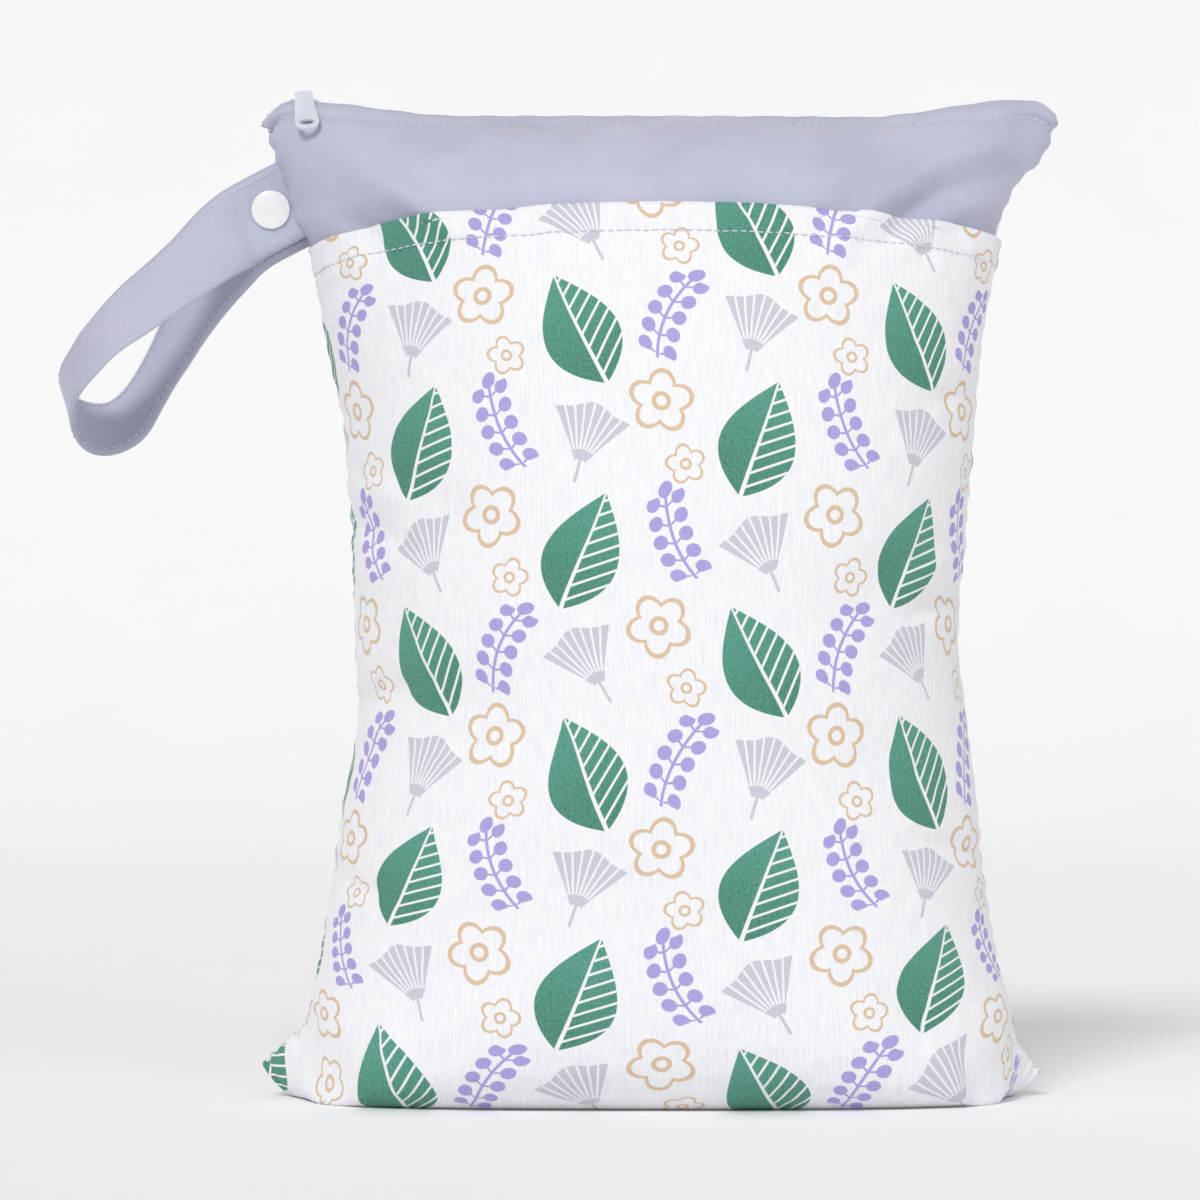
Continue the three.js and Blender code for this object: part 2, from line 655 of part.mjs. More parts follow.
function strapLine() {
  const stations = seatStations(-strapFrontSeat, 0);
  for (const station of strapStations) {
    const turn = THREE.MathUtils.degToRad(station.turn);
    const lean = THREE.MathUtils.degToRad(station.lean);
    const inPlane = new THREE.Vector3(Math.sin(turn), 0, -Math.cos(turn)).multiplyScalar(Math.cos(lean));
    stations.push({
      point: new THREE.Vector3(
        rootMiddle.x - station.out * strapReach,
        station.back * strapGape,
        rootMiddle.z - station.down * strapDrop,
      ),
      width: inPlane.add(new THREE.Vector3(0, -Math.sin(lean), 0)),
    });
  }
  stations.push(...seatStations(strapBackSeat, strapBackDrop).reverse());
  const path = new THREE.CatmullRomCurve3(stations.map((station) => station.point), false, 'centripetal');
  const widths = new THREE.CatmullRomCurve3(stations.map((station) => station.width), false, 'centripetal');
  return { path, widths };
}

const { path: strapPath, widths: strapWidths } = strapLine();

// Place, width direction and outward normal of the strap, at a share of its line
function strapFrame(share) {
  const along = strapPath.getTangent(share);
  const width = strapWidths.getPoint(share);
  const nearRoot = Math.min(share, 1 - share) < 1e-6;
  if (!nearRoot) width.addScaledVector(along, -width.dot(along));
  width.normalize();
  return { point: strapPath.getPoint(share), width, normal: along.clone().cross(width).normalize() };
}

function wristStrap() {
  const sides = [-0.5, 0, 0.5];
  const point = (lift) => (column, row) => {
    const frame = strapFrame(row / strapSteps);
    const place = frame.point.clone();
    place.addScaledVector(frame.width, sides[column] * strapWidth);
    return place.addScaledVector(frame.normal, lift);
  };
  return wallGeometry(sides.length - 1, strapSteps, point(strapWall / 2), point(-strapWall / 2));
}

const snapCentre = rootMiddle.clone().addScaledVector(seatDirection, snapOut);

function snapGeometry(profile, centre) {
  const points = profile.map(([radius, height]) => new THREE.Vector2(radius, height));
  const geometry = new THREE.LatheGeometry(points, roundSteps);
  geometry.translate(centre.x, centre.y, centre.z);
  return toGeometry(toSolid(geometry));
}

// Domed cap from its flat face to its crown. radius: share of the cap's radius.
// rim: share of snapRim. dome: share of the way from snapRim to snapDome.
const capOutline = [
  { radius: 0, rim: 0, dome: 0 },
  { radius: 0.94, rim: 0, dome: 0 },
  { radius: 1, rim: 0.4, dome: 0 },
  { radius: 0.96, rim: 1, dome: 0 },
  { radius: 0.74, rim: 1, dome: 0.66 },
  { radius: 0.4, rim: 1, dome: 0.94 },
  { radius: 0, rim: 1, dome: 1 },
];

function capProfile(direction) {
  return capOutline.map((row) => {
    const height = snapRim * row.rim + (snapDome - snapRim) * row.dome;
    return [(row.radius * snapDiameter) / 2, direction * height];
  });
}

const strapSurface = strapWall / 2 + snapClearance;

function snapCap() {
  const seat = snapCentre.clone().setY(-strapFrontSeat - strapSurface);
  return snapGeometry(capProfile(-1).reverse(), seat);
}

function snapBack() {
  const seat = snapCentre.clone().setY(strapBackSeat + strapSurface);
  return snapGeometry(capProfile(1), seat);
}

function snapSocket() {
  const front = strapSurface - strapFrontSeat;
  const length = strapBackSeat - strapSurface - front;
  const radius = socketDiameter / 2;
  return snapGeometry([[0, 0], [radius, 0], [radius, length], [0, length]], snapCentre.clone().setY(front));
}

const bag = new THREE.Group();

function addPart(name, geometry, colour, roughness, metalness) {
  const material = new THREE.MeshStandardMaterial({ color: colour, roughness, metalness });
  const mesh = new THREE.Mesh(geometry, material);
  mesh.name = name;
  bag.add(mesh);
}

addPart('front_panel', frontPanel(), colours.greyCloth, 0.72, 0);
addPart('back_panel', backPanel(), colours.printCloth, 0.8, 0);
addPart('front_pocket', frontPocket(), colours.printCloth, 0.8, 0);
addPart('zipper_tape_front', zipTape(-1), colours.zip, 0.85, 0);
addPart('zipper_tape_back', zipTape(1), colours.zip, 0.85, 0);
addPart('zipper_coil_front', zipCoil(-1), colours.zip, 0.45, 0);
addPart('zipper_coil_back', zipCoil(1), colours.zip, 0.45, 0);
addPart('zipper_slider', zipSlider(), colours.zipMetal, 0.35, 0.4);
addPart('zipper_pull', zipPull(), colours.zipMetal, 0.35, 0.3);
addPart('wrist_strap', wristStrap(), colours.greyCloth, 0.72, 0);
addPart('snap_cap', snapCap(), colours.snap, 0.15, 0);
addPart('snap_socket', snapSocket(), colours.snap, 0.3, 0);
addPart('snap_back', snapBack(), colours.snap, 0.15, 0);

export default bag;
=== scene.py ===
import math
import time

import bmesh
import bpy
import numpy as np
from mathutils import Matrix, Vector


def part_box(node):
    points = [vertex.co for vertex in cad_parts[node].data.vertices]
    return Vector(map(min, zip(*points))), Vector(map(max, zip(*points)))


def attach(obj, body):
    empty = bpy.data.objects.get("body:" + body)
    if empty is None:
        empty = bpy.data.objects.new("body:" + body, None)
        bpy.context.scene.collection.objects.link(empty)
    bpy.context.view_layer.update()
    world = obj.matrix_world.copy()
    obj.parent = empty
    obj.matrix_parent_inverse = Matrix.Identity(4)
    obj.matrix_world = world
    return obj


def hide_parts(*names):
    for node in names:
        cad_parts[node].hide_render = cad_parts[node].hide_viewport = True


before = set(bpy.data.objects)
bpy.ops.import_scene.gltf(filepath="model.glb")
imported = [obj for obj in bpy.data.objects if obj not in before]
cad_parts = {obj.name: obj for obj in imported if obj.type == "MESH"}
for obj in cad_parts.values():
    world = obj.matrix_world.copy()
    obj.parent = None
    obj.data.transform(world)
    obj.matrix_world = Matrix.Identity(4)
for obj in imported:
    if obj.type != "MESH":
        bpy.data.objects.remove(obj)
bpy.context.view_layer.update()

startTime = time.time()


def stage(text):
    print(f"[wet bag] {text} ({time.time() - startTime:.0f} s)")


# The bag's own shape, the same rule as its solids

bag = {
    "halfWidth": 0.145,
    "height": 0.3555,
    "halfDepth": 0.0785,
    "clothWidth": 0.3,       # each panel laid flat, inside its seams
    "clothHeight": 0.441,
    "backBulge": 0.96,
    "leftRise": 0.0055,
    "rightRise": 0.0075,
    "tipRound": 0.004,
    "foldHalfGap": 0.0042,
    "seamShift": 0.006,
    "layer": 0.00155,        # the pocket's wall and the gap behind it
}

# cloth: share of clothHeight. out: of halfDepth. up, leftUp, rightUp: of height. left, right: of halfWidth
columns = ("cloth", "out", "up", "left", "leftUp", "right", "rightUp", "square", "level")
sections = np.array([
    (0.000, 0.000, 0.0000, 1.000, 0.0330, 0.9720, 0.0250, 2.4, 0.90),
    (0.045, 0.255, 0.0000, 0.959, 0.0490, 0.9340, 0.0440, 2.6, 0.90),
    (0.090, 0.510, 0.0000, 0.903, 0.0660, 0.9030, 0.0560, 3.2, 0.92),
    (0.120, 0.662, 0.0140, 0.872, 0.0790, 0.8860, 0.0730, 3.2, 0.75),
    (0.157, 0.790, 0.0510, 0.862, 0.1010, 0.8760, 0.0980, 2.9, 0.50),
    (0.210, 0.866, 0.1125, 0.838, 0.1460, 0.8480, 0.1410, 2.6, 0.20),
    (0.280, 0.911, 0.2000, 0.815, 0.2140, 0.8210, 0.2080, 2.4, 0.00),
    (0.370, 0.968, 0.3090, 0.783, 0.3090, 0.8000, 0.3040, 2.2, 0.00),
    (0.430, 0.987, 0.3850, 0.752, 0.3850, 0.7770, 0.3850, 2.1, 0.00),
    (0.495, 1.000, 0.4640, 0.757, 0.4655, 0.7570, 0.4655, 2.1, 0.00),
    (0.575, 0.994, 0.5626, 0.765, 0.5600, 0.7720, 0.5600, 2.1, 0.00),
    (0.665, 0.949, 0.6750, 0.781, 0.6695, 0.7930, 0.6695, 2.1, 0.00),
    (0.757, 0.860, 0.7876, 0.834, 0.7790, 0.8170, 0.7790, 2.1, 0.00),
    (0.830, 0.739, 0.8750, 0.866, 0.8580, 0.8520, 0.8610, 2.1, 0.00),
    (0.866, 0.650, 0.9140, 0.908, 0.8945, 0.8620, 0.8970, 2.1, 0.00),
    (0.908, 0.510, 0.9560, 0.938, 0.9310, 0.9060, 0.9310, 2.1, 0.00),
    (0.940, 0.360, 0.9800, 0.962, 0.9580, 0.9655, 0.9520, 2.3, 0.00),
    (0.970, 0.180, 0.9930, 0.979, 0.9820, 0.9930, 0.9760, 3.0, 0.00),
    (1.000, 0.000, 1.0000, 0.983, 1.0000, 1.0000, 0.9950, 10.0, 0.00),
])

# across: share of the half width, up: share of clothHeight, length, breadth: of clothHeight,
# turn: degrees from across, rise: share of halfDepth
frontFolds = [
    (-0.72, 0.900, 0.110, 0.030, -48, 0.050),
    (-0.86, 0.870, 0.080, 0.026, -60, -0.050),
    (0.74, 0.905, 0.100, 0.030, 44, 0.050),
    (0.86, 0.860, 0.080, 0.028, 50, -0.045),
    (-0.74, 0.600, 0.075, 0.028, -12, -0.075),
    (-0.72, 0.440, 0.080, 0.030, 16, -0.075),
    (0.75, 0.540, 0.080, 0.030, 14, -0.070),
    (0.66, 0.370, 0.110, 0.032, -24, -0.060),
    (-0.76, 0.200, 0.090, 0.030, 52, -0.060),
    (0.78, 0.190, 0.090, 0.030, -50, -0.060),
    (0.10, 0.965, 0.160, 0.030, 3, -0.030),
]
backFolds = [
    (-0.70, 0.880, 0.120, 0.034, -40, 0.050),
    (0.72, 0.870, 0.120, 0.034, 42, 0.050),
    (-0.72, 0.520, 0.090, 0.032, 10, -0.070),
    (0.74, 0.460, 0.090, 0.032, -14, -0.070),
    (0.74, 0.620, 0.080, 0.030, 10, -0.060),
    (-0.74, 0.200, 0.100, 0.032, 50, -0.060),
    (0.76, 0.200, 0.100, 0.032, -50, -0.060),
]


# Narrower creases than the solids have. across, up, turn: as above. length, breadth, rise: metres
frontCreases = [
    (-0.79, 0.868, 0.0260, 0.0060, -46, 0.0032),
    (-0.90, 0.842, 0.0150, 0.0050, -58, -0.0027),
    (-0.93, 0.815, 0.0110, 0.0040, 28, 0.0018),
    (-0.62, 0.925, 0.0260, 0.0070, -30, -0.0016),
    (-0.52, 0.850, 0.0300, 0.0090, -58, -0.0014),
    (0.70, 0.866, 0.0320, 0.0065, 40, -0.0021),
    (0.79, 0.878, 0.0300, 0.0050, 46, 0.0030),
    (0.865, 0.865, 0.0240, 0.0042, 48, -0.0026),
    (0.915, 0.855, 0.0200, 0.0040, 46, 0.0019),
    (0.58, 0.930, 0.0300, 0.0070, 24, 0.0009),
    (-0.36, 0.958, 0.0300, 0.0080, -12, -0.0018),
    (-0.93, 0.588, 0.0150, 0.0048, -24, -0.0027),
    (-0.90, 0.618, 0.0130, 0.0042, -20, 0.0016),
    (-0.92, 0.452, 0.0150, 0.0048, 20, -0.0027),
    (-0.90, 0.425, 0.0130, 0.0042, 14, 0.0016),
    (-0.93, 0.290, 0.0130, 0.0042, -16, -0.0016),
    (0.92, 0.528, 0.0150, 0.0048, 26, -0.0027),
    (0.89, 0.556, 0.0130, 0.0042, 30, 0.0016),
    (0.74, 0.408, 0.0240, 0.0052, -36, -0.0018),
    (0.80, 0.438, 0.0200, 0.0046, -34, 0.0013),
    (0.92, 0.330, 0.0140, 0.0044, -22, -0.0020),
    (0.93, 0.700, 0.0130, 0.0042, 20, -0.0016),
    (-0.80, 0.185, 0.0260, 0.0050, 56, -0.0020),
    (-0.86, 0.130, 0.0180, 0.0040, 68, 0.0018),
    (-0.91, 0.110, 0.0160, 0.0034, 76, -0.0022),
    (0.80, 0.175, 0.0260, 0.0050, -54, -0.0020),
    (0.86, 0.125, 0.0180, 0.0040, -66, 0.0018),
    (0.91, 0.105, 0.0160, 0.0034, -74, -0.0022),
]
backCreases = [
    (-0.78, 0.872, 0.0280, 0.0060, -44, 0.0022),
    (-0.88, 0.850, 0.0220, 0.0045, -50, -0.0019),
    (0.78, 0.874, 0.0280, 0.0060, 44, 0.0022),
    (0.88, 0.850, 0.0220, 0.0045, 50, -0.0019),
    (0.05, 0.955, 0.0400, 0.0080, 4, -0.0013),
    (-0.91, 0.640, 0.0150, 0.0048, 20, -0.0024),
    (-0.91, 0.410, 0.0150, 0.0048, -22, -0.0024),
    (0.91, 0.560, 0.0150, 0.0048, -20, -0.0024),
    (0.91, 0.380, 0.0150, 0.0048, 24, -0.0024),
    (-0.84, 0.150, 0.0240, 0.0045, 60, -0.0022),
    (0.84, 0.150, 0.0240, 0.0045, -60, -0.0022),
    (-0.90, 0.115, 0.0160, 0.0036, 72, 0.0016),
    (0.90, 0.115, 0.0160, 0.0036, -72, 0.0016),
]


def ease(low, high, value):
    share = np.clip((value - low) / (high - low), 0, 1)
    return share * share * (3 - 2 * share)


def mix(first, second, share):
    return first + (second - first) * share


def bell(off, width):
    return np.exp(-(off / width) ** 2)


def unit(vectors):
    return vectors / np.maximum(np.linalg.norm(vectors, axis=-1, keepdims=True), 1e-12)


def lengthAlong(points):
    return np.concatenate([[0], np.cumsum(np.linalg.norm(np.diff(points, axis=0), axis=1))])


def newObject(name, data):
    thing = bpy.data.objects.new(name, data)
    bpy.context.scene.collection.objects.link(thing)
    return thing


def curveThrough(column):
    # a smooth curve through a column of the sections that never swings past its values
    keys = sections[:, 0]
    values = sections[:, columns.index(column)]
    spans = np.diff(keys)
    slopes = np.diff(values) / spans
    tangents = np.zeros(len(keys))
    tangents[0] = slopes[0]
    tangents[-1] = slopes[-1]
    product = slopes[:-1] * slopes[1:]
    total = np.where(product > 0, slopes[:-1] + slopes[1:], 1)
    tangents[1:-1] = np.where(product > 0, 2 * product / total, 0)

    def read(place):
        place = np.asarray(place, float)
        index = np.clip(np.searchsorted(keys, place) - 1, 0, len(spans) - 1)
        span = spans[index]
        share = (place - keys[index]) / span
        square, cube = share ** 2, share ** 3
        return (
            (2 * cube - 3 * square + 1) * values[index]
            + (3 * square - 2 * cube) * values[index + 1]
            + (cube - 2 * square + share) * span * tangents[index]
            + (cube - square) * span * tangents[index + 1]
        )

    return read


section = {name: curveThrough(name) for name in columns[1:]}


def ovals(table, across, up, sizeUnit, riseUnit):
    # the height of soft oval folds, all in one table
    height = np.zeros(np.broadcast(across, up).shape)
    for middle, middleUp, length, breadth, turn, rise in table:
        cosine, sine = math.cos(math.radians(turn)), math.sin(math.radians(turn))
        dx = (across - middle) * bag["halfWidth"]
        dy = (up - middleUp) * bag["clothHeight"]
        along = (dx * cosine + dy * sine) / (length * sizeUnit)
        beside = (dy * cosine - dx * sine) / (breadth * sizeUnit)
        height = height + rise * riseUnit * np.exp(-along ** 2 - beside ** 2)
    return height


def foldHeight(folds, across, cloth):
    height = ovals(folds, across, cloth, bag["clothHeight"], bag["halfDepth"])
    return height * (1 - np.abs(across) ** 6) * ease(0.1, 0.2, cloth) * (1 - ease(0.96, 1, cloth))


def creaseHeight(creases, across, up):
    height = ovals(creases, np.sin(across * math.pi / 2), up, 1, 1)
    fromSide = (1 - np.abs(across)) * bag["clothWidth"] / 2
    return height * ease(0, 0.011, fromSide) * ease(0.03, 0.09, up) * (1 - ease(0.965, 0.995, up))


def skin(face, across, cloth):
    # points of the outermost surface. face -1 is the front, +1 the back
    across, cloth = np.broadcast_arrays(np.asarray(across, float), np.asarray(cloth, float))
    share = np.sin(across * math.pi / 2)
    off = np.abs(share)
    left = bag["halfWidth"] * section["left"](cloth)
    right = bag["halfWidth"] * section["right"](cloth)
    seamUp = bag["height"] * np.where(share < 0, section["leftUp"](cloth), section["rightUp"](cloth))
    level = section["level"](cloth)
    lift = np.maximum(0, (off - level) / (1 - level)) ** 2
    square = section["square"](cloth)
    rounding = np.maximum(0, 1 - off ** square) ** (1 / square)
    out = bag["halfDepth"] * section["out"](cloth) + bag["foldHalfGap"] * ease(0.86, 1, cloth)
    if face > 0:
        out = out * mix(1, bag["backBulge"], ease(0.1, 0.3, cloth) * (1 - ease(0.8, 0.95, cloth)))
    out = (out + foldHeight(frontFolds if face < 0 else backFolds, share, cloth)) * rounding
    seamLine = bag["seamShift"] * (1 - ease(0, 0.09, cloth)) * (1 - off * off)
    rise = np.where(share < 0, bag["leftRise"], bag["rightRise"])
    ridge = rise * ease(0.5, 0.93, off) - bag["tipRound"] * ease(0.95, 1, off)
    height = mix(bag["height"] * section["up"](cloth), seamUp, lift) + ridge * ease(0.87, 1, cloth)
    return np.stack([(right - left) / 2 + (right + left) / 2 * share, seamLine + face * out, height], -1)


def evenRow(face, cloth, count, dense=361):
    # one row of the skin, its points evenly spaced along the cloth
    across = np.linspace(-1, 1, dense)
    points = skin(face, across, cloth)
    length = lengthAlong(points)
    wanted = np.linspace(0, length[-1], count + 1)
    even = np.interp(wanted, length, across)
    return skin(face, even, cloth)


def evenGrid(face, columnCount, rowCount):
    return np.array([evenRow(face, cloth, columnCount) for cloth in np.linspace(0, 1, rowCount + 1)])


# Cloth: the two panels sewn together, blown up from their flat pattern

cloth = {
    "columns": 76,
    "rows": 110,
    "sideEase": 0.1,         # how much shorter the pattern's sides are than its middle
    "frames": 26,
    "fixedAbove": 0.985,     # share of the cloth's height held at the zip
    "fixedBelow": 0.1,       # and, where it lies on the floor, at the bottom
    "lying": 0.0006,         # what is lower than this counts as lying on the floor
    "cap": 0.006,            # how far a wrinkle may stand off the shape
    "driftWidth": 0.03,      # slower waves than this are left out, so the outline stays
}
clothSettings = {
    "quality": 7,
    "mass": 0.02,
    "air_damping": 2,
    "tension_stiffness": 12,
    "compression_stiffness": 12,
    "shear_stiffness": 4,
    "bending_stiffness": 0.12,
    "tension_damping": 8,
    "compression_damping": 8,
    "shear_damping": 5,
    "bending_damping": 0.6,
    "use_pressure": True,
    "uniform_pressure_force": 3.0,
}


def blurGrid(values, radius):
    # gaussian blur of a grid of vectors, its borders repeated
    spacings = (bag["clothHeight"] / cloth["rows"], bag["clothWidth"] / cloth["columns"])
    for axis, spacing in enumerate(spacings):
        sigma = radius / spacing
        reach = int(3 * sigma)
        kernel = np.exp(-0.5 * (np.arange(-reach, reach + 1) / sigma) ** 2)
        kernel /= kernel.sum()
        pad = [(0, 0)] * 3
        pad[axis] = (reach, reach)
        padded = np.pad(values, pad, mode="edge")
        values = sum(
            weight * np.take(padded, range(step, step + values.shape[axis]), axis)
            for step, weight in enumerate(kernel)
        )
    return values


def sewnMesh(front, back, restFront):
    rows, cols = cloth["rows"], cloth["columns"]
    frontIndex = np.arange((rows + 1) * (cols + 1)).reshape(rows + 1, cols + 1)
    backIndex = frontIndex.copy()
    own = np.zeros_like(backIndex, bool)
    own[1:, 1:-1] = True
    backIndex[own] = frontIndex.size + np.arange(own.sum())
    points = np.concatenate([front.reshape(-1, 3), back[own]])
    rest = np.concatenate([restFront.reshape(-1, 3), restFront[own]])
    faces = []
    for index, flip in ((frontIndex, False), (backIndex, True)):
        quads = np.stack([index[:-1, :-1], index[:-1, 1:], index[1:, 1:], index[1:, :-1]], -1).reshape(-1, 4)
        faces += [tuple(quad[::-1] if flip else quad) for quad in quads.tolist()]
    return points, rest, faces, frontIndex, backIndex


def blowUp(front, back):
    # runs Blender's cloth with the flat pattern's lengths and gives back both grids with their wrinkles
    rows, cols = cloth["rows"], cloth["columns"]
    across = np.linspace(-1, 1, cols + 1)[None, :]
    up = np.linspace(0, 1, rows + 1)[:, None]
    rest = np.zeros((rows + 1, cols + 1, 3))
    rest[..., 0] = across * bag["clothWidth"] / 2
    rest[..., 2] = (up - 0.5) * bag["clothHeight"] * (1 - cloth["sideEase"] * np.abs(across) ** 3)
    points, restPoints, faces, frontIndex, backIndex = sewnMesh(front, back, rest)
    mesh = bpy.data.meshes.new("sewnCloth")
    mesh.from_pydata(points.tolist(), [], faces)
    sewn = newObject("sewnCloth", mesh)
    sewn.shape_key_add(name="Basis")
    restKey = sewn.shape_key_add(name="flatPattern")
    restKey.data.foreach_set("co", restPoints.ravel())
    hold = sewn.vertex_groups.new(name="hold")
    held = np.zeros(len(points))
    flat = np.zeros((rows + 1, cols + 1)) + up
    for index in (frontIndex, backIndex):
        held[index[flat > cloth["fixedAbove"]]] = 1
        lying = (points[index][..., 2] < cloth["lying"]) & (flat < cloth["fixedBelow"])
        held[index[lying]] = 1
    for vertex in np.nonzero(held)[0]:
        hold.add([int(vertex)], 1.0, "REPLACE")
    modifier = sewn.modifiers.new("cloth", "CLOTH")
    settings = modifier.settings
    for setting, value in clothSettings.items():
        setattr(settings, setting, value)
    settings.vertex_group_mass = "hold"
    settings.rest_shape_key = restKey
    settings.effector_weights.gravity = 0  # its weight counts for nothing beside the stuffing
    modifier.point_cache.frame_end = cloth["frames"]
    scene = bpy.context.scene
    for step in range(1, cloth["frames"] + 1):
        scene.frame_set(step)
    evaluated = sewn.evaluated_get(bpy.context.evaluated_depsgraph_get())
    moved = np.zeros(len(points) * 3)
    evaluated.data.vertices.foreach_get("co", moved)
    moved = moved.reshape(-1, 3)
    scene.frame_set(1)
    bpy.data.objects.remove(sewn)
    shift = moved - points
    if not np.isfinite(shift).all():
        raise RuntimeError("the cloth blew apart")
    result = []
    for grid, index in ((front, frontIndex), (back, backIndex)):
        off = shift[index]
        print("   moved, mm: mean %.1f, most %.1f" % (
            1000 * np.linalg.norm(off, axis=-1).mean(), 1000 * np.linalg.norm(off, axis=-1).max()))
        off = off - blurGrid(off, cloth["driftWidth"])
        size = np.linalg.norm(off, axis=-1, keepdims=True)
        off = off * cloth["cap"] / (cloth["cap"] + size)
        fade = (1 - ease(0.93, 0.985, up)) * ease(0.0, 0.03, up + 0.5 * (np.abs(across) > 0.9))
        result.append(grid + off * fade[..., None])
    seam = [(slice(None), 0), (slice(None), -1), (0, slice(None))]
    for place in seam:
        both = (result[0][place] + result[1][place]) / 2
        result[0][place] = both
        result[1][place] = both
    return result


frontGrid = evenGrid(-1, cloth["columns"], cloth["rows"])
backGrid = evenGrid(1, cloth["columns"], cloth["rows"])
stage("shape laid out")
frontGrid, backGrid = blowUp(frontGrid, backGrid)
stage("cloth blown up")


def cubicWeights(share):
    square, cube = share ** 2, share ** 3
    return np.stack([
        -0.5 * share + square - 0.5 * cube,
        1 - 2.5 * square + 1.5 * cube,
        0.5 * share + 2 * square - 1.5 * cube,
        -0.5 * square + 0.5 * cube,
    ])


def readGrid(grid, across, up):
    # points of a grid at any across (-1 to 1) and up (0 to 1), on a smooth curve through it
    rows, cols = grid.shape[0] - 1, grid.shape[1] - 1
    column = np.clip((across + 1) / 2 * cols, 0, cols - 1e-6)
    row = np.clip(up * rows, 0, rows - 1e-6)
    firstColumn, firstRow = np.floor(column).astype(int), np.floor(row).astype(int)
    columnWeights = cubicWeights(column - firstColumn)
    rowWeights = cubicWeights(row - firstRow)
    points = 0
    for rowStep in range(4):
        for columnStep in range(4):
            atRow = np.clip(firstRow + rowStep - 1, 0, rows)
            atColumn = np.clip(firstColumn + columnStep - 1, 0, cols)
            weight = rowWeights[rowStep] * columnWeights[columnStep]
            points = points + weight[..., None] * grid[atRow, atColumn]
    return points


def gridNormals(points, face):
    alongAcross = np.gradient(points, axis=1)
    alongUp = np.gradient(points, axis=0)
    return -face * unit(np.cross(alongAcross, alongUp))


# Shader maths

class Socket:
    # a shader socket that can be reckoned with

    def __init__(self, tree, link):
        self.tree = tree
        self.link = link

    def node(self, kind, settings=None, inputs=None, output=0):
        return addNode(self.tree, kind, settings, inputs, output)

    def maths(self, operation, *others):
        return self.node("ShaderNodeMath", {"operation": operation}, dict(enumerate((self, *others))))

    def __rsub__(self, other):
        return self.node("ShaderNodeMath", {"operation": "SUBTRACT"}, {0: other, 1: self})

    def __neg__(self):
        return self.maths("MULTIPLY", -1)

    def rising(self, low, high):
        # 0 below low and 1 above high
        settings = {"interpolation_type": "SMOOTHSTEP"}
        return self.node("ShaderNodeMapRange", settings, {0: self, 1: low, 2: high})

    def wave(self, step):
        return (self * (2 * math.pi / step)).sine()


def mathsMethod(operation):
    def method(self, *others):
        return self.maths(operation, *others)

    return method


for methodName, operation in {
    "__add__": "ADD", "__radd__": "ADD", "__sub__": "SUBTRACT", "__truediv__": "DIVIDE",
    "__mul__": "MULTIPLY", "__rmul__": "MULTIPLY", "absolute": "ABSOLUTE", "root": "SQRT",
    "sine": "SINE", "cosine": "COSINE", "arctan": "ARCTAN2", "floor": "FLOOR",
    "fraction": "FRACT", "modulo": "MODULO", "most": "MAXIMUM", "least": "MINIMUM",
}.items():
    setattr(Socket, methodName, mathsMethod(operation))


def addNode(tree, kind, settings=None, inputs=None, output=0):
    node = tree.nodes.new(kind)
    for name, value in (settings or {}).items():
        setattr(node, name, value)
    for key, value in (inputs or {}).items():
        if isinstance(value, Socket):
            tree.links.new(value.link, node.inputs[key])
        else:
            node.inputs[key].default_value = value
    return Socket(tree, node.outputs[output])


def linear(red, green, blue):
    # a colour seen on screen, 0 to 255, as the shader's own linear one
    parts = (red / 255, green / 255, blue / 255)
    return tuple(c / 12.92 if c < 0.04 else ((c + 0.055) / 1.055) ** 2.4 for c in parts)


def withAlpha(value):
    return value if isinstance(value, Socket) else (*value, 1)


def blendColour(tree, factor, first, second):
    inputs = {0: factor, 6: withAlpha(first), 7: withAlpha(second)}
    return addNode(tree, "ShaderNodeMix", {"data_type": "RGBA"}, inputs, 2)


def newMaterial(name, colour, roughness, **sockets):
    # a material with its Principled shader; the caller links what varies
    material = bpy.data.materials.new(name)
    material.use_nodes = True
    material.diffuse_color = (*colour, 1)
    shader = material.node_tree.nodes["Principled BSDF"]
    shader.inputs["Base Color"].default_value = (*colour, 1)
    shader.inputs["Roughness"].default_value = roughness
    for socket, value in sockets.items():
        shader.inputs[socket.replace("_", " ")].default_value = value
    return material, material.node_tree, shader


def wire(tree, shader, **links):
    for socket, value in links.items():
        tree.links.new(value.link, shader.inputs[socket.replace("_", " ")])


def objectPlace(tree):
    return addNode(tree, "ShaderNodeTexCoord", output=3)


def noiseOf(tree, vector, scale, detail=2.0, roughness=0.5, stretch=None):
    if stretch is not None:
        vector = addNode(tree, "ShaderNodeVectorMath", {"operation": "MULTIPLY"}, {0: vector, 1: stretch})
    return addNode(tree, "ShaderNodeTexNoise", None,
                   {"Vector": vector, "Scale": scale, "Detail": detail, "Roughness": roughness})


def bumpOf(tree, height, strength, distance):
    inputs = {"Strength": strength, "Distance": distance, "Height": height}
    return addNode(tree, "ShaderNodeBump", None, inputs)


def splitVector(tree, vector):
    split = addNode(tree, "ShaderNodeSeparateXYZ", None, {0: vector})
    return [Socket(tree, output) for output in split.link.node.outputs]


def clothPlace(tree):
    # the flat cloth's own place, in millimetres: across and up
    uv = addNode(tree, "ShaderNodeUVMap", {"uv_map": "flatCloth"})
    across, up, _ = splitVector(tree, uv)
    return across * 1000, up * 1000, uv


# Smooth grey polyester with a fine pebbled grain
greyLook = {
    "colour": linear(190, 192, 212),
    "lit": linear(202, 204, 222),
    "shade": linear(177, 179, 200),
    "roughness": 0.58,
    "grain": 0.55,
    "pebbleScale": 1500,
    "cloudScale": 22,
}


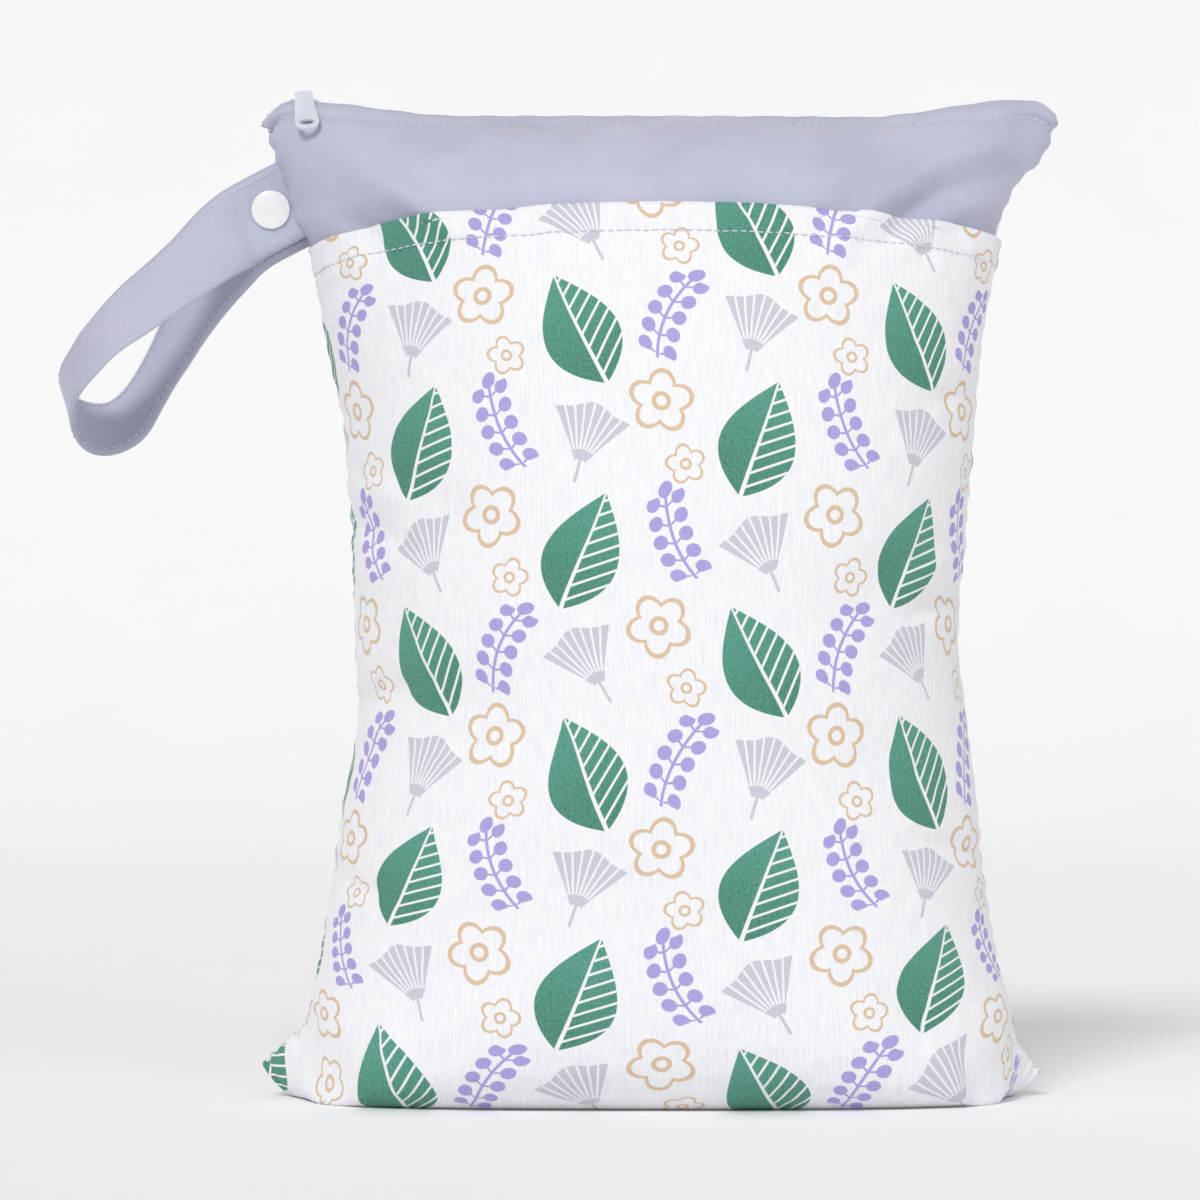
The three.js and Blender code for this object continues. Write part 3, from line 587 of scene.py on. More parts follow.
def makeGreyCloth():
    material, tree, shader = newMaterial(
        "greySatin", greyLook["colour"], greyLook["roughness"],
        Sheen_Weight=0.22, Sheen_Roughness=0.4, Specular_IOR_Level=0.35)
    across, up, uv = clothPlace(tree)
    pebbles = noiseOf(tree, uv, greyLook["pebbleScale"], 3, 0.6)
    clouds = noiseOf(tree, uv, greyLook["cloudScale"], 3, 0.5)
    threads = (across * (2 * math.pi / 0.55) + up * 3.1).sine() * up.wave(0.6)
    tone = (clouds - 0.5) * 0.9 + (pebbles - 0.5) * 0.5 + 0.5
    colour = blendColour(tree, tone.rising(0.1, 0.9), greyLook["shade"], greyLook["lit"])
    height = pebbles * 0.7 + threads * 0.12
    wire(tree, shader, Base_Color=colour, Normal=bumpOf(tree, height, greyLook["grain"], 0.0003),
         Roughness=(pebbles - 0.5) * 0.25 + greyLook["roughness"])
    return material


# White knit with a scattered botanical print
printLook = {
    "white": linear(251, 251, 253),
    "thread": linear(237, 238, 244),
    "green": linear(70, 150, 130),
    "greenDeep": linear(54, 132, 112),
    "purple": linear(172, 158, 222),
    "tan": linear(222, 193, 160),
    "grey": linear(202, 204, 214),
    "roughness": 0.75,
    "wale": 0.95,            # the knit's columns and rows of loops, in millimetres
    "course": 0.7,
    "fuzzScale": 900,
    "streakScale": 1300,
    "leafHalves": (21.5, 13.2),  # half length and half width
    "cellWidth": 61.0,       # millimetres between two green leaves side by side
    "cellHeight": 78.0,
}

# what: motif. x, y: place in the cell. turn: degrees, other: degrees in every second cell, size: scale
printPlan = [
    ("leaf", -15, 17, 24, -20, 1.0),
    ("sprig", 17, 22, -26, 22, 1.0),
    ("flower", 12, -9, 12, 48, 1.0),
    ("fan", -14, -21, -16, 26, 0.92),
    ("flower", 20, -31, 30, 4, 0.62),
]


def motifPlace(tree, across, up, plan):
    # millimetres across and up from the middle of the nearest motif, turned with it
    _, x, y, turn, other, size = plan
    columnAt = (across - x) / printLook["cellWidth"] + 0.5
    column = columnAt.floor()
    odd = column.modulo(2).absolute()
    rowAt = (up - y) / printLook["cellHeight"] + odd * 0.5 + 0.5
    row = rowAt.floor()
    second = (row + column).modulo(2).absolute()
    localX = (columnAt.fraction() - 0.5) * printLook["cellWidth"]
    localY = (rowAt.fraction() - 0.5) * printLook["cellHeight"]
    angle = (second * (other - turn) + turn) * (math.pi / 180)
    cosine, sine = angle.cosine(), angle.sine()
    turnedX = (localX * cosine + localY * sine) / size
    turnedY = (localY * cosine - localX * sine) / size
    return turnedX, turnedY


# The motifs below are drawn in millimetres, upright round their middle

def edge(value, soft=0.35):
    # 1 where value is above nothing, with a soft printed edge
    return value.rising(-soft / 2, soft / 2)


def leafMotif(x, y):
    # a pointed leaf, one half plain and the other cut by slanted bare lines
    halfLength, halfWidth = printLook["leafHalves"]
    along = y / halfLength
    body = (1 - along * along) * (1 - along * 0.35) * halfWidth - x.absolute()
    rib = x.absolute() - (1 - along) * 0.22 - 0.35
    lines = ((y - x * 0.8) / 5.2).fraction() - 0.5
    cut = (lines.absolute() * 5.2 - 0.55).most(-x)
    return edge(body.least(rib).least(cut))


def fanMotif(x, y):
    # a fan leaf on a short stem, with bare lines that spread from it
    rise = y + 13
    radius = (x * x + rise * rise).root()
    angle = x.arctan(rise)
    outer = (angle * 9).cosine() * 0.9 + 25 - radius
    sides = (0.62 - angle.absolute()) * radius
    lines = (((angle / 0.155 + 0.5).fraction() - 0.5).absolute() * 0.155) * radius - 0.42
    blade = outer.least(sides).least(lines.most(7.5 - radius)).least(radius - 3.5)
    stem = (0.6 - x.absolute()).least(4.8 - (rise + 0.5).absolute())
    return edge(blade.most(stem))


def sprigMotif(x, y):
    # a bent stem with round berries in pairs
    bend = x - (y * y) * 0.012 + 1.2
    stem = 0.55 - bend.absolute()
    inside = 15 - y.absolute()
    beadY = ((y / 6.6 + 0.5).fraction() - 0.5) * 6.6
    beadX = bend.absolute() - 4.6
    bead = 2.5 - (beadX * beadX + beadY * beadY).root()
    twig = (0.42 - (beadY + 2.2 - bend.absolute() * 0.5).absolute()).least(4.6 - bend.absolute())
    crown = 2.6 - (bend * bend + (y - 16.6) * (y - 16.6)).root()
    return edge(stem.least(inside + 1.5).most(bead.most(twig).least(inside)).most(crown))


def flowerMotif(x, y):
    # an open outline of five petals round a ring
    radius = (x * x + y * y).root()
    angle = y.arctan(x)
    petals = (angle * 2.5).cosine().absolute() * 3.6 + 7.2
    outline = 0.85 - (radius - petals).absolute()
    ring = 0.8 - (radius - 2.6).absolute()
    return edge(outline.most(ring))


motifs = {
    "leaf": (leafMotif, "green"),
    "fan": (fanMotif, "grey"),
    "sprig": (sprigMotif, "purple"),
    "flower": (flowerMotif, "tan"),
}


def makePrintCloth():
    material, tree, shader = newMaterial(
        "printedKnit", printLook["white"], printLook["roughness"],
        Sheen_Weight=0.15, Sheen_Roughness=0.5, Specular_IOR_Level=0.25)
    across, up, uv = clothPlace(tree)
    wales, courses = across.wave(printLook["wale"]), up.wave(printLook["course"])
    fuzz = noiseOf(tree, uv, printLook["fuzzScale"], 3, 0.6)
    streaks = noiseOf(tree, uv, printLook["streakScale"], 2, 0.5, (1, 0.07, 1))
    tone = (streaks - 0.5) * 1.5 + (fuzz - 0.5) * 0.4 + wales * 0.14 + 0.56
    colour = blendColour(tree, tone.rising(0, 1), printLook["thread"], printLook["white"])
    for plan in printPlan:
        motif, ink = motifs[plan[0]]
        x, y = motifPlace(tree, across, up, plan)
        mask = motif(x, y)
        if plan[0] == "leaf":  # deeper green towards its stem
            tint = (y / 40 + 0.5).rising(0, 1)
            tinted = blendColour(tree, tint, printLook["greenDeep"], printLook["green"])
        else:
            tinted = printLook[ink]
        worn = mask * ((fuzz - 0.5) * 0.3 + wales * 0.03 + 0.95).least(1)
        colour = blendColour(tree, worn, colour, tinted)
    height = wales * 0.4 + courses * 0.15 + fuzz * 0.5
    wire(tree, shader, Base_Color=colour, Normal=bumpOf(tree, height, 0.5, 0.00025),
         Roughness=(fuzz - 0.5) * 0.2 + printLook["roughness"])
    return material


def makeTapeCloth():
    material, tree, shader = newMaterial("zipTape", linear(226, 226, 238), 0.8, Sheen_Weight=0.1)
    place = objectPlace(tree)
    x, y, _ = splitVector(tree, place)
    twill = (x + y * 1.2).wave(0.0009)
    fuzz = noiseOf(tree, place, 1400, 2, 0.5)
    colour = blendColour(tree, twill * 0.3 + fuzz * 0.4 + 0.3, linear(206, 206, 222), linear(238, 238, 246))
    wire(tree, shader, Base_Color=colour, Normal=bumpOf(tree, twill * 0.5 + fuzz * 0.5, 0.6, 0.0002))
    return material


def makePlastic(name, colour, roughness, grain, **sockets):
    material, tree, shader = newMaterial(name, colour, roughness, **sockets)
    place = objectPlace(tree)
    ripple = noiseOf(tree, place, 420, 3, 0.5)
    marks = noiseOf(tree, place, 95, 4, 0.6)
    darker = tuple(c * 0.9 for c in colour)
    wire(tree, shader, Base_Color=blendColour(tree, marks.rising(0.35, 0.75), darker, colour),
         Roughness=(marks - 0.5) * 0.18 + roughness,
         Normal=bumpOf(tree, ripple, grain, 0.0001))
    return material


def makeThread(name, colour):
    material, tree, shader = newMaterial(name, colour, 0.6, Sheen_Weight=0.3)
    place = objectPlace(tree)
    x, _, z = splitVector(tree, place)
    turns = (x + z).wave(0.0006)
    # painted shade: the thread's colour darkens in the grooves of its twist, where its bump sinks
    groovesShaded = blendColour(tree, turns * 0.5 + 0.5, tuple(c * 0.85 for c in colour), colour)
    wire(tree, shader, Base_Color=groovesShaded, Normal=bumpOf(tree, turns, 0.5, 0.0001))
    return material


greyCloth = makeGreyCloth()
printCloth = makePrintCloth()
tapeCloth = makeTapeCloth()
coilPlastic = makePlastic("zipTeeth", linear(226, 227, 238), 0.38, 0.25)
paintedMetal = makePlastic(
    "enamelledMetal", linear(230, 235, 245), 0.3, 0.35, Metallic=0.15, Coat_Weight=0.4)
snapPlastic = makePlastic(
    "snapPlastic", linear(253, 253, 254), 0.2, 0.08, Coat_Weight=0.5, Coat_Roughness=0.08)
strapThread = makeThread("strapThread", linear(226, 228, 240))
greyThread = makeThread("greyThread", linear(226, 228, 240))
whiteThread = makeThread("whiteThread", linear(228, 229, 238))
stage("materials made")


# Mesh making

def addMesh(name, points, faces, material, uvs=None):
    mesh = bpy.data.meshes.new(name)
    mesh.from_pydata([tuple(p) for p in np.asarray(points).reshape(-1, 3).tolist()], [], faces)
    if uvs is not None:
        layer = mesh.uv_layers.new(name="flatCloth")
        loops = np.zeros(len(mesh.loops), int)
        mesh.loops.foreach_get("vertex_index", loops)
        layer.data.foreach_set("uv", np.asarray(uvs)[loops].ravel())
    mesh.polygons.foreach_set("use_smooth", [True] * len(mesh.polygons))
    mesh.materials.append(material)
    mesh.update()
    return newObject(name, mesh)


def gridFaces(rows, cols, flip, closed=False):
    wide = cols if closed else cols + 1
    faces = []
    for row in range(rows):
        for column in range(cols):
            after = (column + 1) % wide
            low, high = row * wide, (row + 1) * wide
            quad = (low + column, low + after, high + after, high + column)
            faces.append(quad[::-1] if flip else quad)
    return faces


def facedOut(thing):
    work = bmesh.new()
    work.from_mesh(thing.data)
    bmesh.ops.recalc_face_normals(work, faces=work.faces)
    work.to_mesh(thing.data)
    work.free()
    return thing


def thicken(thing, thickness):
    solid = thing.modifiers.new("wall", "SOLIDIFY")
    solid.thickness = thickness
    solid.offset = -1
    solid.use_even_offset = True
    solid.thickness_clamp = 1.2


panel = {
    "columns": 150,
    "rows": 215,
    "wall": 0.0009,
    "pocketWall": 0.001,
    "seamTuck": 0.0012,      # how far the seam is drawn in
    "seamTuckWidth": 0.0026,
    "puckerStep": 0.0105,    # along the seam from pucker to pucker
    "puckerReach": 0.011,
    "pucker": 0.0007,
    "pocketRows": 184,
    "hem": 0.011,            # the pocket's hem
    "hemRise": 0.0006,
    "hemGroove": 0.0005,
    "hemLoose": 0.0012,      # how far its edge wavers off the panel
    "hemRipple": 0.0003,
    "hemRippleStep": 0.013,
    "pocketDrop": 0.065,     # of the pocket's edge below the zipped top, along the cloth
    "pocketArchLeft": 0.0085,
    "pocketArchRight": 0.005,
    "topStitch": 0.0125,     # below the folded edge
    "topGroove": 0.0007,
    "topGrooveWidth": 0.0022,
    "topPuff": 0.0009,
    "topWave": 0.0005,
    "topWaveStep": 0.017,
    "foldUnder": 0.007,
    "leftDip": 0.0052,       # of the front's folded edge at its ends
    "rightDip": 0.0013,
    "backPrintShift": np.array([0.026, 0.022]),
    "foldRound": 0.0007,
    "threadProud": 0.00012,
}


def pocketEdge(across):
    # share of the cloth's height at which the pocket's edge lies
    drop = np.where(across < 0, panel["pocketArchLeft"], panel["pocketArchRight"])
    return 1 - (panel["pocketDrop"] + drop * np.abs(across) ** 3) / bag["clothHeight"]


def smallWaves(seed, value, waves=5):
    # a wavering line from -1 to 1
    source = np.random.default_rng(seed)
    total = 0
    for wave in range(1, waves + 1):
        size, speed, start = source.uniform(0.5, 1), source.uniform(0.7, 1.3), source.uniform(0, 6)
        total = total + size / wave * np.sin(value * wave * speed + start)
    return total / 2


def dressed(face, across, up, depth):
    # points of a finished panel and the cloth's normals there: the blown up cloth with its
    # seam tuck, puckers and creases, sunk by depth
    grid, creases, seed = (frontGrid, frontCreases, 3) if face < 0 else (backGrid, backCreases, 17)
    points = readGrid(grid, across, up)
    normals = gridNormals(points, face)
    fromSide = (1 - np.abs(across)) * bag["clothWidth"] / 2
    fromBottom = up * bag["clothHeight"]
    phase = 2 * math.pi * fromBottom / panel["puckerStep"] + 1.6 * smallWaves(seed, fromBottom * 60)
    sideShare = bell(fromSide, panel["puckerReach"]) * (1 - ease(0.96, 1, up))
    size = 0.55 + 0.45 * smallWaves(seed + 5, fromBottom * 35)
    ripple = panel["pucker"] * size * np.sin(phase + 25 * fromSide * across) * sideShare
    hidden = ease(0.0, 0.004, points[..., 2])
    atSide, atBottom = (bell(off, panel["seamTuckWidth"]) for off in (fromSide, fromBottom))
    tuck = panel["seamTuck"] * np.maximum(atSide, atBottom * hidden) * (fromSide < 0.02)
    crease = creaseHeight(creases, across, up)
    points = points + normals * ((ripple + crease) * hidden - depth)[..., None]
    points[..., 0] -= np.sign(across) * tuck
    return points, normals


def gridPlaces(cols, rows, left=-1, right=1, low=0, high=1):
    return np.meshgrid(np.linspace(left, right, cols + 1), np.linspace(low, high, rows + 1))


def flatPlace(across, up):
    return np.stack([across * bag["clothWidth"] / 2 + 0.5, up * bag["clothHeight"]], -1)


def topGroove(across, up):
    # the topstitch draws the folded top down along its line, with small puckers across it
    below = (1 - up) * bag["clothHeight"] - panel["topStitch"]
    groove = -panel["topGroove"] * bell(below, panel["topGrooveWidth"])
    puff = panel["topPuff"] * bell(below + 0.005, 0.0035)
    along = across * bag["clothWidth"] / 2
    phase = along * 2 * math.pi / panel["topWaveStep"] + 2 * smallWaves(11, along * 50)
    wave = panel["topWave"] * np.sin(phase) * bell(below, 0.012)
    return groove + puff + wave


def clothPiece(name, face, points, extra, uvs, material, wall):
    # a grid of cloth, none of it below the floor; the extra rows carry on its top edge
    points = np.concatenate([points, np.array(extra)])
    points[..., 2] = np.maximum(points[..., 2], 0.0)
    uvs = np.concatenate([uvs, np.repeat(uvs[-1:], len(extra), 0)])
    faces = gridFaces(len(points) - 1, points.shape[1] - 1, face > 0)
    thing = addMesh(name, points, faces, material, uvs=uvs.reshape(-1, 2))
    thicken(thing, wall)
    return thing


def makePanel(name, face, material):
    cols, rows = panel["columns"], panel["rows"]
    across, up = gridPlaces(cols, rows)
    depth = np.zeros_like(up)
    if face < 0:  # its folded edge ends lower at both ends and shows the tape behind it
        dip = panel["leftDip"] * (1 - ease(-0.965, -0.89, across))
        dip = dip + panel["rightDip"] * ease(0.84, 0.93, across)
        up = up - dip / bag["clothHeight"] * ease(0.965, 1, up)
        edgeUp = pocketEdge(across)
        depth = bag["layer"] * (1 - ease(edgeUp + 0.004, edgeUp + 0.03, up))
    points, normals = dressed(face, across, up, depth)
    points = points + normals * topGroove(across, up)[..., None]
    # the top edge turns under and runs back down behind itself, less and less towards the corners
    under = [0.35, 0.8, 1.0, 1.0]
    back = [0.0, 0.0004, 0.0025, panel["foldUnder"]]
    towardsMiddle = np.clip((1 - np.abs(across[-1])) * 12, 0.15, 1)[:, None]
    inward = np.array([0, -face, 0.0])
    extra = []
    for turn, run in zip(under, back):
        nose = panel["foldRound"] * math.sin(math.pi * turn)
        sink = inward * (2 * panel["foldRound"] * turn) + np.array([0, 0, nose - run])
        extra.append(points[-1] + sink * towardsMiddle)
    uvs = flatPlace(across, up) + (panel["backPrintShift"] if face > 0 else 0)
    return clothPiece(name, face, points, extra, uvs, material, panel["wall"])


def makePocket():
    cols, rows = panel["columns"], panel["pocketRows"]
    across, share = gridPlaces(cols, rows)
    edgeUp = pocketEdge(across)
    up = share * edgeUp
    points, normals = dressed(-1, across, up, 0)
    below = (edgeUp - up) * bag["clothHeight"]
    along = across * bag["clothWidth"] / 2
    rise = panel["hemRise"] * (1 - ease(panel["hem"] - 0.001, panel["hem"] + 0.001, below))
    rise = rise - panel["hemGroove"] * bell(below - panel["hem"], 0.0014)
    loose = panel["hemLoose"] * np.exp(-below / 0.008) * (0.5 + 0.5 * smallWaves(23, along * 45))
    loose = loose * (1 - np.abs(across) ** 8)
    phase = along * 2 * math.pi / panel["hemRippleStep"] + 2 * smallWaves(29, along * 50)
    ripple = panel["hemRipple"] * np.sin(phase) * bell(below - panel["hem"], 0.008)
    points = points + normals * (rise + loose + ripple)[..., None]
    # the hem's edge rolls in
    roll = [(0.0004, 0.0002), (0.0009, 0.0), (0.0011, -0.003)]
    upStep = unit(points[-1] - points[-2])
    extra = [points[-1] - normals[-1] * sink + upStep * run for sink, run in roll]
    uvs = flatPlace(across, up)
    return clothPiece("frontPocket", -1, points, extra, uvs, printCloth, panel["pocketWall"])


frontPanel = makePanel("frontPanel", -1, greyCloth)
backPanel = makePanel("backPanel", 1, printCloth)
frontPocket = makePocket()
stage("panels and pocket made")


# Stitches and teeth, by Geometry Nodes along a line

def rowTree():
    # small beads at even steps along a line, each turned along it
    tree = bpy.data.node_groups.new("beadRow", "GeometryNodeTree")
    face = tree.interface
    face.new_socket("Geometry", in_out="INPUT", socket_type="NodeSocketGeometry")
    for label in ("Pitch", "Length", "Width", "Height"):
        face.new_socket(label, in_out="INPUT", socket_type="NodeSocketFloat").default_value = 0.002
    face.new_socket("Material", in_out="INPUT", socket_type="NodeSocketMaterial")
    face.new_socket("Geometry", in_out="OUTPUT", socket_type="NodeSocketGeometry")
    kinds = {
        "entry": "NodeGroupInput",
        "curve": "GeometryNodeMeshToCurve",
        "step": "GeometryNodeResampleCurve",
        "tangent": "GeometryNodeInputTangent",
        "turn": "FunctionNodeAlignRotationToVector",
        "bead": "GeometryNodeMeshUVSphere",
        "size": "ShaderNodeCombineXYZ",
        "place": "GeometryNodeInstanceOnPoints",
        "real": "GeometryNodeRealizeInstances",
        "smooth": "GeometryNodeSetShadeSmooth",
        "paint": "GeometryNodeSetMaterial",
        "leave": "NodeGroupOutput",
    }
    nodes = {key: tree.nodes.new(kind) for key, kind in kinds.items()}
    nodes["step"].mode = "LENGTH"
    nodes["turn"].axis = "X"
    for label, value in (("Segments", 8), ("Rings", 6), ("Radius", 0.5)):
        nodes["bead"].inputs[label].default_value = value
    for source, output, target, place in (
        ("entry", "Geometry", "curve", 0),
        ("curve", 0, "step", "Curve"),
        ("entry", "Pitch", "step", "Length"),
        ("step", 0, "place", "Points"),
        ("tangent", 0, "turn", "Vector"),
        ("turn", 0, "place", "Rotation"),
        ("bead", 0, "place", "Instance"),
        ("entry", "Length", "size", 0),
        ("entry", "Width", "size", 1),
        ("entry", "Height", "size", 2),
        ("size", 0, "place", "Scale"),
        ("place", 0, "real", 0),
        ("real", 0, "smooth", 0),
        ("smooth", 0, "paint", "Geometry"),
        ("entry", "Material", "paint", "Material"),
        ("paint", 0, "leave", 0),
    ):
        tree.links.new(nodes[source].outputs[output], nodes[target].inputs[place])
    return tree


rowGroup = rowTree()


def bakeNodes(thing, group, values):
    # runs a node group on an object and makes the result its plain mesh
    modifier = thing.modifiers.new("nodes", "NODES")
    modifier.node_group = group
    for item in group.interface.items_tree:
        if item.in_out == "INPUT" and item.name in values:
            modifier[item.identifier] = values[item.name]
    view = bpy.context.evaluated_depsgraph_get()
    made = bpy.data.meshes.new_from_object(thing.evaluated_get(view), depsgraph=view)
    made.name = thing.name
    thing.modifiers.remove(modifier)
    thing.data = made
    return thing


def rowOfBeads(name, lines, values):
    points, edges = [], []
    for line in lines:
        first = len(points)
        points += [tuple(p) for p in np.asarray(line).tolist()]
        edges += [(first + step, first + step + 1) for step in range(len(line) - 1)]
    mesh = bpy.data.meshes.new(name)
    mesh.from_pydata(points, edges, [])
    return bakeNodes(newObject(name, mesh), rowGroup, values)


def stitchLine(name, lines, material, pitch=0.0031, length=0.0025, width=0.0006):
    values = {"Pitch": pitch, "Length": length, "Width": width, "Height": width, "Material": material}
    return rowOfBeads(name, lines, values)


def surfaceLine(thing, rowAt):
    # points along a panel's grid at a fractional row for each column, a thread's radius proud
    cols = panel["columns"]
    count = len(thing.data.vertices)
    points = np.zeros(count * 3)
    thing.data.vertices.foreach_get("co", points)
    points = points.reshape(-1, cols + 1, 3)
    row = np.clip(rowAt, 0, points.shape[0] - 2)
    first = np.floor(row).astype(int)
    share = (row - first)[:, None]
    column = np.arange(cols + 1)
    line = points[first, column] * (1 - share) + points[first + 1, column] * share
    alongUp = points[first + 1, column] - points[first, column]
    alongAcross = np.gradient(line, axis=0)
    outside = -1 if thing.name == "backPanel" else 1
    return line + unit(np.cross(alongAcross, alongUp)) * outside * panel["threadProud"]


columnAcross = np.linspace(-1, 1, panel["columns"] + 1)
topRow = panel["rows"] * (1 - panel["topStitch"] / bag["clothHeight"]) * np.ones(panel["columns"] + 1)
topStitchesFront = stitchLine("topStitchesFront", [surfaceLine(frontPanel, topRow)[2:-2]], greyThread)
topStitchesBack = stitchLine("topStitchesBack", [surfaceLine(backPanel, topRow)[2:-2]], whiteThread)
hemShare = 1 - panel["hem"] / bag["clothHeight"] / pocketEdge(columnAcross)
hemLine = surfaceLine(frontPocket, panel["pocketRows"] * hemShare)[4:-4]
hemStitches = stitchLine("hemStitches", [hemLine], whiteThread)
stage("stitches made")


# Zip: tapes, teeth, slider and pull

zipSet = {
    "tapeDrop": 0.00185,     # of the tape below the folded edge
    "tapeWall": 0.0008,
    "tapeInner": 0.0009,
    "tapeRows": [(0.0024, 0.0), (0.0039, -0.0002), (0.0052, -0.0012)],  # out and up
    "coilInner": 0.0002,
    "coilSpread": 0.0007,
    "coilWidth": 0.0022,
    "coilHeight": 0.0018,
    "coilProud": 0.0002,
    "toothPitch": 0.00135,
    "sliderX": -0.1283,
    "tapeX": (-0.1375, 0.1395),
    "teethX": (-0.1365, 0.1385),
    "toothLength": 0.00112,
    "endAcross": (-1, -0.87),  # of the tape's end over the left corner, shares of the cloth
    "endUp": (0.976, 1),
    "endSteps": (33, 21),
    "endWall": 0.0005,
    "endWeave": 0.0021,
}


def ridge(x):
    # the folded edge over a place along the zip: its distance from the middle and its height
    across = np.linspace(-1, 1, 721)
    line = skin(-1, across, 1.0)
    return -np.interp(x, line[:, 0], line[:, 1]), np.interp(x, line[:, 0], line[:, 2])


def makeTape(name, face):
    x = np.linspace(*zipSet["tapeX"], 181)
    fold, height = ridge(x)
    top = height - zipSet["tapeDrop"]
    rows = [(zipSet["tapeInner"], 0.0), *zipSet["tapeRows"]]
    points = []
    for out, drop in rows:
        limit = np.minimum(out, np.maximum(fold * 0.98 - 0.0004, zipSet["tapeInner"] + 0.0002 * out / 0.004))
        points.append(np.stack([x, face * limit, top + drop * (limit >= out * 0.999)], -1))
    thing = addMesh(name, np.array(points), gridFaces(len(rows) - 1, len(x) - 1, face > 0), tapeCloth)
    thicken(thing, zipSet["tapeWall"])
    return thing


def makeTeeth(name, face):
    # one strand of teeth; the other strand's teeth stand half a pitch further on
    shift = 0 if face < 0 else zipSet["toothPitch"] / 2
    x = np.linspace(*zipSet["teethX"], 700) + shift
    fold, height = ridge(x)
    parted = zipSet["coilSpread"] * (1 - ease(zipSet["sliderX"] - 0.0019, zipSet["sliderX"] + 0.0005, x))
    middle = zipSet["coilInner"] + parted + zipSet["coilWidth"] / 2
    points = np.stack([x, face * middle, height + zipSet["coilProud"] - zipSet["coilHeight"] / 2], -1)
    return rowOfBeads(name, [points], {
        "Pitch": zipSet["toothPitch"], "Length": zipSet["toothLength"],
        "Width": zipSet["coilWidth"] + 0.0003, "Height": zipSet["coilHeight"], "Material": coilPlastic})


def makeTapeEnd():
    # the tape's end closes the left corner, in sight over the dipped front
    cols, rows = zipSet["endSteps"]
    across, up = gridPlaces(cols, rows, *zipSet["endAcross"], *zipSet["endUp"])
    points, normals = dressed(-1, across, up, 0.0012 * (1 - ease(0.985, 1, up)) + 0.0003)
    weave = 0.00015 * np.sin(up * bag["clothHeight"] * 2 * math.pi / zipSet["endWeave"])
    points = points + normals * weave[..., None]
    over = points[-1] + np.array([0, 0.0022, -0.0002])
    thing = addMesh("zipTapeEnd", [*points, over], gridFaces(rows + 1, cols, False), tapeCloth)
    thicken(thing, zipSet["endWall"])
    return thing


tapeFront, tapeBack = makeTape("zipTapeFront", -1), makeTape("zipTapeBack", 1)
teethFront, teethBack = makeTeeth("zipTeethFront", -1), makeTeeth("zipTeethBack", 1)
tapeEnd = makeTapeEnd()


def roundedCopy(name, node, bevel):
    # a node's own solid in metal, its doubles merged and its edges rounded
    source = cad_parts[node]
    work = bmesh.new()
    work.from_mesh(source.data)
    bmesh.ops.remove_doubles(work, verts=work.verts, dist=1e-6)
    bmesh.ops.dissolve_limit(work, angle_limit=math.radians(2), verts=work.verts, edges=work.edges)
    mesh = bpy.data.meshes.new(name)
    work.to_mesh(mesh)
    work.free()
    mesh.polygons.foreach_set("use_smooth", [True] * len(mesh.polygons))
    mesh.materials.clear()
    mesh.materials.append(paintedMetal)
    thing = newObject(name, mesh)
    edgeRound = thing.modifiers.new("edges", "BEVEL")
    edgeRound.width = bevel
    edgeRound.segments = 3
    edgeRound.limit_method = "ANGLE"
    edgeRound.angle_limit = math.radians(25)
    edgeRound.harden_normals = True
    return thing


slider = roundedCopy("zipSlider", "zipper_slider", 0.00022)
pull = roundedCopy("zipPull", "zipper_pull", 0.00028)
stage("zip made")


# Wrist strap and its snap

strap = {
    "width": 0.0295,
    "wall": 0.0018,
    "reach": 0.079,
    "drop": 0.082,
    "gape": 0.023,
    "rootHigh": 0.0275,      # of the root's ends below the zipped top, along the cloth
    "rootLow": 0.069,
    "clearance": 0.00085,
    "backDrop": 0.003,       # how much lower the sewn end lies than the free one
    "tuck": 0.0042,          # of both ends into the seam
    "frontSeat": 0.0039,
    "backSeat": 0.0014,
    "seatLength": 0.0162,
    "seatShares": (0.45, 0.85, 1),
    "seatSlope": (0.89, 0.455),
    "stitchMargin": 0.0028,
    "evenTurns": 40,         # how often twist and path are evened out
    "roundFrom": 0.462,      # share of the width beyond which the edges round off
    "snapFromSeam": 0.0065,
    "dent": 0.0009,          # round the snap
    "dentRadius": 0.0085,
    "crease": 0.0008,
    "creaseFromSnap": 0.0115,
    "crown": 0.00035,
    "groove": 0.0003,
    "wave": 0.0005,
    "threadProud": 0.00018,
    "steps": 220,
    "around": 26,
}

# out, down, back: shares of reach, drop and gape. turn, lean: degrees
strapStations = [
    (0.400, 0.275, -0.62, 37, 33),
    (0.632, 0.453, -0.80, 40, 41),
    (0.858, 0.640, -0.74, 45, 54),
    (1.000, 0.820, -0.35, 36, 62),
    (0.995, 0.950, 0.17, 16, 54),
    (0.905, 0.995, 0.57, 8, 47),
    (0.785, 0.960, 0.83, 16, 47),
    (0.700, 0.865, 0.96, 32, 51),
    (0.620, 0.738, 1.00, 48, 53),
    (0.505, 0.550, 0.92, 53, 47),
    (0.368, 0.340, 0.68, 46, 36),
]


